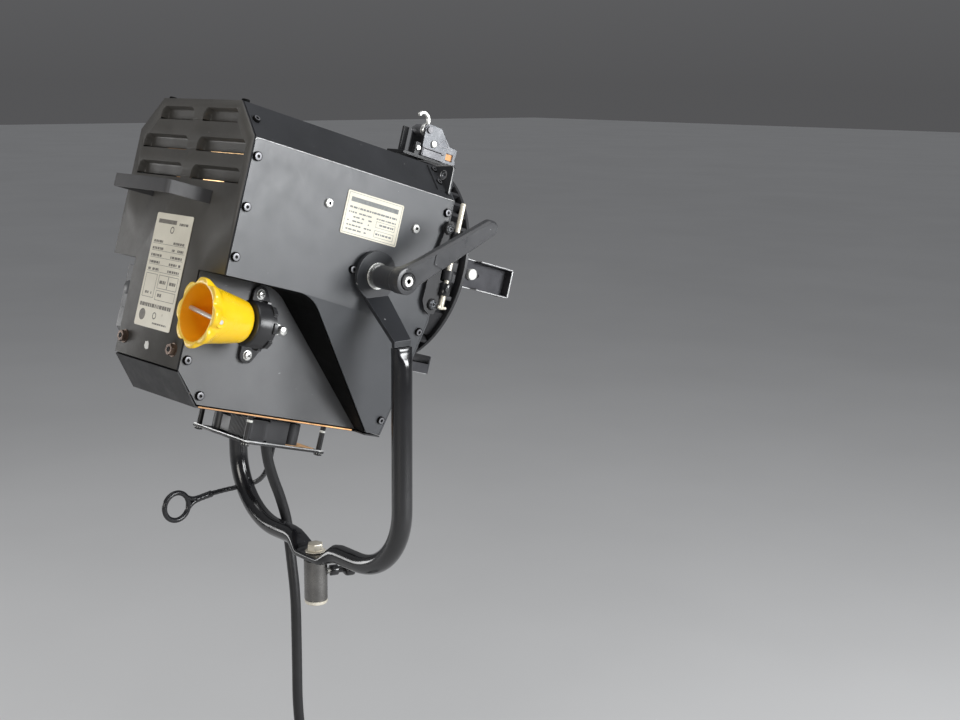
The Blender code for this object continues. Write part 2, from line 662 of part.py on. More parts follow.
def lens(door):
    at = placed((0, 0, LENS_Z), (0, -1, 0))
    back, deep, proud = 110.0, 117.0, 120.6
    profile = [(0, back), (LENS_R, back), (LENS_R, proud), (70.5, proud)]
    edges = [70.5, 64.0, 57.5, 51.0, 44.5, 38.0, 31.0, 23.5]
    for outer, inner in zip(edges, edges[1:]):
        profile += [(outer - 0.3, deep), (inner, proud - 0.4)]
    profile += [(23.2, deep), (14.0, proud - 1.2), (0, proud - 0.2)]
    make("fresnel_lens", shape(polar, profile, 48, at), door)
    make("lens_clip_ring", shape(polar, [(71, back - 3.5), (76.4, back - 3.5), (76.4, back - GAP),
                                         (71, back - GAP)],
                                 40, at), door)


def channel(door, name, turn):
    """Accessory channel at the ring's edge, pointing forward; turn is about the beam."""
    about = Matrix.Translation((0, 0, LENS_Z)) @ Matrix.Rotation(turn, 4, "Y")
    y0, y1 = RING_FRONT - GAP, -196.0
    half = 16.8
    bm = shape(block, -116.0, -114.2, y1, y0, -half, half, about)
    walls = [shape(block, -126.0, -114.2, y1, -144.0, half - 1.8, half, about),
             shape(block, -126.0, -114.2, y1, -144.0, -half, -half + 1.8, about),
             shape(block, -126.0, -104.0, y1, y1 + 1.8, -half, half, about),
             shape(block, -116.0, -100.0, y0 - 1.8, y0, -half, half, about)]
    slot = shape(prism, hull(arc(-146, 0, 2.6, 0, 360, 10) + arc(-150, 0, 2.6, 0, 360, 10)),
                 "x", -125.0, -105.0, about)
    head = shape(polar, [(0, -2), (5.0, -2), (5.0, 3.0), (4.2, 3.6), (0, 3.8)], 12,
                 placed(about @ Vector((-116.0, -138.5, 0)), about.to_3x3() @ Vector((-1, 0, 0))))
    make(name, bm, door, add=walls + [head], cut=[slot])


PIN_Y, PIN_Z = -118.6, 190.6


def ribbon(points, t):
    """Outline of a strip of thickness t along a line of 2-D points."""
    left, right = [], []
    for i, p in enumerate(points):
        a, b = Vector(points[max(i - 1, 0)]), Vector(points[min(i + 1, len(points) - 1)])
        d = (b - a).normalized()
        n = Vector((-d.y, d.x)) * (t / 2)
        left.append((p[0] + n.x, p[1] + n.y))
        right.append((p[0] - n.x, p[1] - n.y))
    return left + right[::-1]


def top_catch(door, catch):
    x, t = 13.0, 1.6
    floor = 158.0
    base = [(-84, 153.6), (-84, 157.7), (-150, 157.7), (-150, 153.6)]
    make("catch_base", shape(prism, base, "x", -16, 16), door,
         add=[shape(block, -16, -12.5, -108, -100, 153.6, 172),
              shape(block, 12.5, 16, -108, -100, 153.6, 190)])
    side = [(-113, floor), (-113, 192), (-118, 197.3), (-137, 196.6), (-155, 179), (-168, 178), (-166.5, 159),
            (-150, floor)]
    plates = [shape(prism, side, "x", x - t, x),
              shape(rod, (-x + 0.5, -129.3, 175.7), (-x - 2.2, -129.3, 175.7), 4.0, 12)]
    floor_sheet = shape(block, -x + 0.2, x - 0.2, -150, -113, floor, floor + t)
    window = shape(block, -20, 20, -163, -152, 162, 171)
    pin = shape(rod, (-20, PIN_Y, PIN_Z), (20, PIN_Y, PIN_Z), 2.8, 12)
    make("catch_bracket", shape(prism, side, "x", -x, -x + t), door, add=plates + [floor_sheet],
         cut=[window, pin])
    bm = bmesh.new()
    polar(bm, [(0, 0), (4.4, 0), (4.4, 2.2), (2.5, 2.2), (2.5, 30.2), (4.4, 30.2), (4.4, 32), (0, 32)], 12,
          placed((-x - 2.5, PIN_Y, PIN_Z), (1, 0, 0)))
    make("catch_pin", bm, door)
    barrel = shape(polar, [(2.8, -11), (6.5, -11), (6.5, 11), (2.8, 11)], 18,
                   placed((0, PIN_Y, PIN_Z), (1, 0, 0)))
    arm = shape(prism, [(PIN_Y - 4.5, PIN_Z - 2), (PIN_Y - 4, PIN_Z + 4.5), (-150, 184), (-176, 166),
                        (-176, 150), (-172, 150), (-171, 164), (-150, 177)], "x", -4, 4)
    hook = [(-117.6, 195.5), (-118.0, 200.5), (-115.8, 205.6), (-111.0, 208.6), (-105.6, 208.0),
            (-102.0, 204.4)]
    strip = ribbon(hook, 3.4)
    make("catch_lever", barrel, catch, add=[arm, shape(prism, strip, "x", -9.6, -5.6)])


# ------------------------------------------------------------ yoke and foot
def yoke_plate(yoke, side):
    x, t = side * PLATE_X, 5.0
    disc = arc(0, 0, 27.0, -56, 236, 26)
    upper = [(x, a, b) for a, b in disc] + [(x, -15.2, -25.0), (x, 15.2, -25.0)]
    n = len(upper)
    low_x = side * (YOKE_X - 3.0)
    points = upper + [(low_x, 11.5, -67.0), (low_x, -11.5, -67.0), (low_x, 11.5, -71.7),
                      (low_x, -11.5, -71.7)]
    bm = bmesh.new()
    verts = [bm.verts.new(p) for p in points]
    bm.faces.new(verts[:n])
    bm.faces.new((verts[n - 2], verts[n - 1], verts[n], verts[n + 1]))
    bm.faces.new((verts[n + 1], verts[n], verts[n + 2], verts[n + 3]))
    bmesh.ops.recalc_face_normals(bm, faces=bm.faces)
    bm.faces.ensure_lookup_table()
    if bm.faces[0].normal.x * side > 0:
        bmesh.ops.reverse_faces(bm, faces=bm.faces)
    bm.transform(Matrix.Scale(MM, 4) @ STAND)
    name = "yoke_plate_" + side_name(side)
    mesh = bpy.data.meshes.new(name)
    bm.to_mesh(mesh)
    bm.free()
    obj = bpy.data.objects.new(name, mesh)
    collection().objects.link(obj)
    mod = obj.modifiers.new("sheet", "SOLIDIFY")
    mod.thickness = t * MM
    mod.offset = -1
    mod.use_even_offset = True
    bake(obj)
    combine(obj, [shape(rod, (x - 20, 0, 0), (x + 20, 0, 0), 6.4, 20)], STAND, "DIFFERENCE")
    keep(obj, yoke)


def yoke_path():
    """Centre line of the bent tube with each section's half sizes (in the bend plane, across it)."""
    stations = []
    top, low, x = -72.0, YOKE_LOW + SADDLE, YOKE_X
    for z, squash in ((top, 0.55), (top - 4, 0.6), (top - 12, 0.85), (top - 22, 1.0), (-170.0, 1.0)):
        stations.append((-x, z, squash))
    for k in range(11):
        a = radians(180 + 9 * k)
        stations.append((-x + BEND_R + BEND_R * cos(a), low + BEND_R + BEND_R * sin(a), 1.0))
    for dx, squash in ((-46.0, 1.0), (-34.0, 0.75), (-24.0, 0.45), (-18.0, 0.39)):
        stations.append((dx, low - (1 - squash) * (YOKE_R + SADDLE / 0.61), squash))
    return stations + [(-a, b, s) for a, b, s in reversed(stations)]


def yoke_tube(yoke):
    stations = yoke_path()
    bm = bmesh.new()
    rings = []
    sides = 20
    for i, (x, z, squash) in enumerate(stations):
        before, after = stations[max(i - 1, 0)], stations[min(i + 1, len(stations) - 1)]
        along = Vector((after[0] - before[0], 0, after[1] - before[1])).normalized()
        normal = Vector((-along.z, 0, along.x))
        flat = YOKE_R * squash
        wide = YOKE_R + (YOKE_R - flat) * 0.62 if squash < 1 and z < -200 else YOKE_R + (YOKE_R - flat) * 0.15
        ring = []
        for k in range(sides):
            a = 2 * pi * k / sides
            power = 0.55 if squash < 0.7 else 1.0
            ca, sa = cos(a), sin(a)
            u = abs(ca) ** power * (1 if ca >= 0 else -1)
            v = abs(sa) ** power * (1 if sa >= 0 else -1)
            ring.append(bm.verts.new(Vector((x, 0, z)) + normal * (flat * u) + Vector((0, wide * v, 0))))
        rings.append(ring)
    for a, b in zip(rings, rings[1:]):
        for k in range(sides):
            m = (k + 1) % sides
            bm.faces.new((a[k], a[m], b[m], b[k]))
    bm.faces.new(rings[0])
    bm.faces.new(rings[-1])
    hole = shape(rod, (0, 0, YOKE_LOW - 20), (0, 0, YOKE_LOW + 20), 6.4, 20)
    make("yoke_tube", bm, yoke, STAND, cut=[hole])


def tilt_clamp(yoke, lever):
    x = -PLATE_X - 5 - GAP
    make("tilt_washer", shape(polar, [(6.4, 0), (14.7, 0), (14.7, 1.8), (6.4, 1.8)], 28,
                              placed((x, 0, 0), (-1, 0, 0))), yoke, STAND)
    x -= 1.8 + GAP
    end = 175.0 + x
    hub = shape(polar, [(0, 0), (12.2, 0), (12.8, 8), (13.6, end - 16), (14.7, end - 14), (14.7, end - 1),
                        (13.6, end), (0, end)], 28, placed((x, 0, 0), (-1, 0, 0)))
    stud_hole = shape(rod, (x + 5, 0, 0), (-151.0, 0, 0), 6.4, 20)
    counterbore = shape(rod, (-171.0, 0, 0), (-180.0, 0, 0), 9.3, 24)
    along = Vector((-20.0, -108.0, 52.0)).normalized()
    out = Vector((-1, 0, 0))
    out = (out - along * out.dot(along)).normalized()
    across = out.cross(along)
    place = Matrix.Translation((-168.5, 0, 0)) @ Matrix((along, across, out)).transposed().to_4x4()
    length = 126.0
    outline = [(4, -12.5)] + [(22, -12.0), (length - 9, -9.3)] + arc(length - 9, 0, 9.3, -75, 75, 6) \
        + [(length - 9, 9.3), (22, 12.0), (4, 12.5)]
    arm = shape(prism, outline, "z", -6.5, 6.3, place)
    make("clamp_lever", hub, lever, STAND, add=[arm], cut=[stud_hole, counterbore])
    insert = shape(polar, [(0, 0), (8.9, 0), (8.9, 4.2), (8.2, 5), (3.6, 5), (3.6, 1.5), (0, 1.5)], 20,
                   placed((-171.0 - GAP, 0, 0), (-1, 0, 0)))
    make("lever_screw", insert, lever, STAND)


LOCK_DIR = (-0.35, -0.94, 0.0)
LOCK_Z = -372.0


def receiver(root):
    top, low = YOKE_LOW - YOKE_R - GAP, -PIVOT_H
    profile = [(0, top - 9), (6.4, top - 9), (6.4, top), (RECEIVER_R, top), (RECEIVER_R, low + 5),
               (11.5, low),
               (BORE_R, low), (BORE_R, top - 13), (0, top - 13)]
    at = Vector((0, 0, LOCK_Z))
    hole = shape(rod, at, at + 40 * Vector(LOCK_DIR), 4.3, 14)
    make("receiver", shape(polar, profile, 40), root, STAND, cut=[hole])
    z = YOKE_LOW + 2 * 0.39 * YOKE_R - YOKE_R + GAP
    bm = bmesh.new()
    polar(bm, [(0, top - 8.5), (6, top - 8.5), (6, z), (12.3, z), (12.0, z + 1.8), (0, z + 1.8)], 24)
    hexed = shape(prism, hexagon(9.8), "z", z + 1.0, z + 10.0)
    make("yoke_bolt", bm, root, STAND, add=[hexed])


def lock_screw(lock):
    place = placed((0, 0, LOCK_Z), LOCK_DIR)

    def wing(angle):
        return 7.5 + 6.5 * abs(cos(angle)) ** 3

    make("lock_screw", shape(polar, [(0, 9.2), (4, 9.2), (4, 17), (6.5, 17.5), (6.5, 27), (4, 28), (4, 34),
                                     (wing, 36),
                                     (wing, 45), (5, 47), (0, 47)], 24, place), lock, STAND)


# --------------------------------------------------------------------- cords
CABLE_R, ROPE_R = 6.5, 3.2
COIL_R, COIL_TURNS, COIL_PITCH = 71.5, 3, 13.2
COIL_AT = (75.0, 20.0, -742.0)  # centre of the first turn


def head_point(x, y, z):
    return Matrix.Rotation(TILT, 4, "X") @ Vector((x, y, z))


def cable_route():
    exit_at = head_point(GLAND[0], GLAND[1], Z_BOTTOM - 3.6 - 18.0 - GAP)
    return [exit_at, head_point(GLAND[0], GLAND[1], Z_BOTTOM - 36), (73.5, 18.4, -226), (76.5, 13.4, -248),
            (81, 3.6, -273), (86, -9, -300), (89.5, -20, -332), (87.5, -22.5, -362), (82, -22, -390),
            (77.5, -22, -418), (75.3, -22, -450), (75, -22, -520), (75, -22, -570), (75, -25, -610),
            (75, -33, -655), (75, -40.6, -683)]


def cords(parent):
    tube("mains_cable", smooth(cable_route(), 24.0), CABLE_R, parent, STAND, 2)
    inner, outer = COIL_R - CABLE_R - 0.5, COIL_R + CABLE_R + 0.5
    thick = COIL_TURNS * COIL_PITCH + 2 * CABLE_R + 0.6
    place = placed((COIL_AT[0] - CABLE_R - GAP, COIL_AT[1], COIL_AT[2]), (1, 0, 0))
    r = 4.0
    profile = [(inner, r), (inner + r, 0), (outer - r, 0), (outer, r), (outer, thick - r), (outer - r, thick),
               (inner + r, thick), (inner, thick - r)]
    make("cable_coil", shape(polar, profile, 48, place), parent, STAND)
    place = placed((COIL_AT[0] + COIL_TURNS * COIL_PITCH, COIL_AT[1] - COIL_R, COIL_AT[2] - 47.5), (0, 0, -1))
    profile = [(0, 0), (8, 0), (10, 22), (17, 30), (19, 36), (19, 62), (17, 66), (0, 66)]
    make("mains_plug", shape(polar, profile, 20, place), parent, STAND)


def rope_route():
    start = head_point(ANCHOR[0], ANCHOR[1], Z_BOTTOM - 3.6 - 9.0 - 1.2)
    return [start, head_point(ANCHOR[0] + 2.5, ANCHOR[1] + 1, Z_BOTTOM - 28), (93, -6, -233),
            (110, -11, -258),
            (132, -18.5, -280), (154, -23, -296), (172, -20.5, -305.5), (184, -9, -310), (188, 7, -311.5),
            (186, 27, -311.5)]


def safety_rope(parent):
    route = smooth(rope_route(), 10.0)
    tube("safety_rope", route, ROPE_R, parent, STAND, 2)
    end = route[-1]
    along = Vector((-0.06, 1.0, -0.11)).normalized()
    ferrule = shape(polar, [(0, 0.8), (4.0, 0.8), (5.0, 2.5), (5.0, 24), (4.2, 27), (0, 27)], 14,
                    placed(end, along))
    across = Vector((1, 0, 0))
    across = (across - along * across.dot(along)).normalized()
    eye = end + along * (27 + 27)
    ring_r = 17.5
    section = [(ring_r + ROPE_R * 1.05 * cos(radians(a)), ROPE_R * 1.05 * sin(radians(a))) for a in range(0,
                                                                                                          360,
                                                                                                          45)]
    loop = shape(polar, section, 24, placed(eye, across))
    side = across.cross(along).normalized()
    legs = bmesh.new()
    for s in (-1, 1):
        rod(legs, end + along * 22 + side * (2.4 * s), eye - along * 13 + side * (13.5 * s), ROPE_R, 8)
    make("rope_eye", ferrule, parent, STAND, add=[loop, legs])


# --------------------------------------------------------------------- build
def build():
    for obj in list(bpy.data.objects):
        bpy.data.objects.remove(obj)
    root = axis_empty("axis_receiver", (0, 0, -PIVOT_H), STAND)
    lock = axis_empty("axis_lock", (0, 0, LOCK_Z), STAND, root)
    yoke = axis_empty("axis_pan", (0, 0, YOKE_LOW), STAND, root)
    lever = axis_empty("axis_lever", (0, 0, 0), STAND, yoke)
    head = axis_empty("axis_tilt", (0, 0, 0), HEAD, yoke)
    cup = axis_empty("axis_focus_cup", (CUP_X, 139, CUP_Z), HEAD, head)
    shaft = axis_empty("axis_cross_shaft", (-60, 112, CUP_Z), HEAD, head)
    lead = axis_empty("axis_lead_screw", (SCREW_X, 0, CUP_Z), HEAD, head)
    slide = axis_empty("axis_carriage", (0, LAMP_Y, CUP_Z), HEAD, head)
    door = axis_empty("axis_door", (HINGE_X, HINGE_Y, LENS_Z), HEAD, head)
    catch = axis_empty("axis_catch", (0, PIN_Y, PIN_Z), HEAD, door)

    receiver(root)
    lock_screw(lock)
    yoke_tube(yoke)
    tilt_clamp(yoke, lever)
    top_wrap(head)
    for side in (-1, 1):
        yoke_plate(yoke, side)
        side_panel(head, side)
        notch_lining(head, side)
        recess_panel(head, side)
    rear_plate(head)
    bottom_tray(head)
    front_frame(head)
    rear_fittings(head)
    makers_plate(head)
    junction_box(head)
    vent_unit(head)
    cable_gland(head)
    tilt_bosses(head)
    hinge(head)
    focus_gearbox(head)
    focus_cup(cup)
    drive(shaft, lead, head)
    carriage(slide)
    door_ring(door)
    lens(door)
    channel(door, "channel_near", 0.0)
    channel(door, "channel_far", pi)
    channel(door, "channel_bottom", -pi / 2)
    top_catch(door, catch)
    cords(yoke)
    safety_rope(yoke)


build()
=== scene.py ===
"""Looks of the fresnel spotlight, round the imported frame. Lengths are millimetres until scaled by MM."""
from math import atan2, cos, pi, radians, sin
from random import Random

import bmesh
import bpy
from mathutils import Matrix, Vector
from mathutils.geometry import delaunay_2d_cdt


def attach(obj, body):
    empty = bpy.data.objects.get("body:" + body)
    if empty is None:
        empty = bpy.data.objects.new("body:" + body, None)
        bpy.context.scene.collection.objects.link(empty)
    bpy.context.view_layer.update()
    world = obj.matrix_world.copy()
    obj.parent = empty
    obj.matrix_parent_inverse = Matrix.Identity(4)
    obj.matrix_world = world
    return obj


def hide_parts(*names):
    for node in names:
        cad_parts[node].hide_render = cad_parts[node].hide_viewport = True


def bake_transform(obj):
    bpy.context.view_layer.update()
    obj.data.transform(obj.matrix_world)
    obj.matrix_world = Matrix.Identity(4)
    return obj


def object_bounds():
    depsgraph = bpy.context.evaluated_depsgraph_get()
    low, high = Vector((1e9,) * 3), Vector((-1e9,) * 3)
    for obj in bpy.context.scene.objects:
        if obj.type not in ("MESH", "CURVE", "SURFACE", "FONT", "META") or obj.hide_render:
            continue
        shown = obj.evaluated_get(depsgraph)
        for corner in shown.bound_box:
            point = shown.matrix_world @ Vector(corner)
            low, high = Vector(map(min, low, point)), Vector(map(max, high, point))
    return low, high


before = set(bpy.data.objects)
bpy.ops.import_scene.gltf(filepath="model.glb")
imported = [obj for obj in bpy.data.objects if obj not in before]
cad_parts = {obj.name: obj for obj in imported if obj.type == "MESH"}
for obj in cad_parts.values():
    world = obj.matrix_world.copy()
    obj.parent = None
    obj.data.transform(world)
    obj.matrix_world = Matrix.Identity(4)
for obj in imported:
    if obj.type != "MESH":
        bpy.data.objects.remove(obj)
CAD_LOW, CAD_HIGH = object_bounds()

MM = 0.001
GAP = 0.3
PIVOT_H = 410.0
TILT = Matrix.Rotation(radians(16.3), 4, "X")
HEAD = Matrix.Translation((0, 0, PIVOT_H)) @ TILT
STAND = Matrix.Translation((0, 0, PIVOT_H))
W_MAX, W_TOP, W_REAR, W_FOOT = 113.5, 77.4, 65.2, 89.0
Z_TOP, Z_SHOULDER, Z_NOTCH, Z_BOTTOM = 140.5, 104.8, -36.0, -172.7
Y_REAR = 182.4
LENS_Z, LENS_R = 29.0, 76.3
CUP_X, CUP_Z = -104.0, -78.5
YOKE_X, YOKE_LOW, YOKE_R, BEND_R, SADDLE, FLAT = 164.3, -343.0, 11.5, 82.0, 6.5, 0.385
BOSS_END, YOKE_PLATE, TILT_WASHER, LEVER_X = -118.0, 5.0, 1.8, -168.5


# ---- materials
def material(name):
    mat = bpy.data.materials.new(name)
    mat.use_nodes = True
    nodes, links = mat.node_tree.nodes, mat.node_tree.links
    shader = next(n for n in nodes if n.type == "BSDF_PRINCIPLED")
    where = nodes.new("ShaderNodeTexCoord").outputs["Object"]
    return mat, nodes, links, shader, where


def noise(nodes, links, where, scale, detail=3.0, rough=0.55, stretch=None):
    node = nodes.new("ShaderNodeTexNoise")
    node.inputs["Scale"].default_value = scale
    node.inputs["Detail"].default_value = detail
    node.inputs["Roughness"].default_value = rough
    if stretch:
        turn = nodes.new("ShaderNodeMapping")
        turn.inputs["Scale"].default_value = stretch
        links.new(where, turn.inputs["Vector"])
        where = turn.outputs["Vector"]
    links.new(where, node.inputs["Vector"])
    return node.outputs["Fac"]


def spread(nodes, links, value, low, high, to_low=0.0, to_high=1.0):
    node = nodes.new("ShaderNodeMapRange")
    for key, v in (("From Min", low), ("From Max", high), ("To Min", to_low), ("To Max", to_high)):
        node.inputs[key].default_value = v
    links.new(value, node.inputs["Value"])
    return node.outputs["Result"]


def mixed(nodes, links, factor, a, b):
    node = nodes.new("ShaderNodeMix")
    node.data_type = "RGBA"
    links.new(factor, node.inputs["Factor"])
    for socket, v in ((node.inputs["A"], a), (node.inputs["B"], b)):
        if isinstance(v, tuple):
            socket.default_value = (*v, 1.0)
        else:
            links.new(v, socket)
    return node.outputs["Result"]


def bumped(nodes, links, shader, height, strength, distance):
    node = nodes.new("ShaderNodeBump")
    node.inputs["Strength"].default_value = strength
    node.inputs["Distance"].default_value = distance
    links.new(height, node.inputs["Height"])
    links.new(node.outputs["Normal"], shader.inputs["Normal"])


def finish(name, light, dark, rough=(0.35, 0.5), metal=0.0, cloud=14.0, grain=900.0, bump=0.12, depth=0.0003,
           marks=None, coat=0.0, specular=0.5):
    """Painted, plated or moulded surface: clouded colour and gloss, fine grain, and scuffs or chips.

    marks gives the colour, amount, scale and stretch of the scuffs.
    """
    mat, nodes, links, shader, where = material(name)
    broad = noise(nodes, links, where, cloud, 4.0)
    colour = mixed(nodes, links, spread(nodes, links, broad, 0.32, 0.68), dark, light)
    fine = noise(nodes, links, where, grain, 2.0)
    gloss = noise(nodes, links, where, cloud * 3.3, 5.0, 0.6)
    if marks:
        wear_and_highlight, amount, scale, *stretch = marks
        spots = noise(nodes, links, where, scale, 3.0, 0.5, *stretch)
        mask = spread(nodes, links, spots, 0.74 - amount, 0.80 - amount)
        colour = mixed(nodes, links, mask, colour, wear_and_highlight)
    links.new(colour, shader.inputs["Base Color"])
    links.new(spread(nodes, links, gloss, 0.3, 0.7, *rough), shader.inputs["Roughness"])
    shader.inputs["Metallic"].default_value = metal
    shader.inputs["Specular IOR Level"].default_value = specular
    shader.inputs["Coat Weight"].default_value = coat
    shader.inputs["Coat Roughness"].default_value = 0.12
    bumped(nodes, links, shader, fine, bump, depth)
    return mat


def glass(name, colour, rough):
    mat, nodes, links, shader, where = material(name)
    shader.inputs["Base Color"].default_value = (*colour, 1.0)
    shader.inputs["Transmission Weight"].default_value = 1.0
    shader.inputs["IOR"].default_value = 1.47
    ripple = noise(nodes, links, where, 160.0, 2.0)
    links.new(spread(nodes, links, ripple, 0.3, 0.7, rough, rough + 0.05), shader.inputs["Roughness"])
    bumped(nodes, links, shader, ripple, 0.25, 0.0008)
    return mat


def glowing(name, colour, strength, axis, start, stop, floor=0.05):
    """Metal edge lit from inside, brighter towards one end of an axis (0, 1 or 2) of the shared frame."""
    mat, nodes, links, shader, where = material(name)
    split = nodes.new("ShaderNodeSeparateXYZ")
    links.new(where, split.inputs["Vector"])
    ramp = spread(nodes, links, split.outputs[axis], start, stop, floor, 1.0)
    broken = spread(nodes, links, noise(nodes, links, where, 70.0, 3.0), 0.35, 0.6, 0.35, 1.0)
    both = nodes.new("ShaderNodeMath")
    both.operation = "MULTIPLY"
    links.new(ramp, both.inputs[0])
    links.new(broken, both.inputs[1])
    shader.inputs["Base Color"].default_value = (0.35, 0.2, 0.1, 1.0)
    shader.inputs["Roughness"].default_value = 0.45
    shader.inputs["Metallic"].default_value = 0.6
    shader.inputs["Emission Strength"].default_value = strength
    links.new(mixed(nodes, links, both.outputs[0], (0.02, 0.008, 0.002), colour),
        shader.inputs["Emission Color"])
    return mat


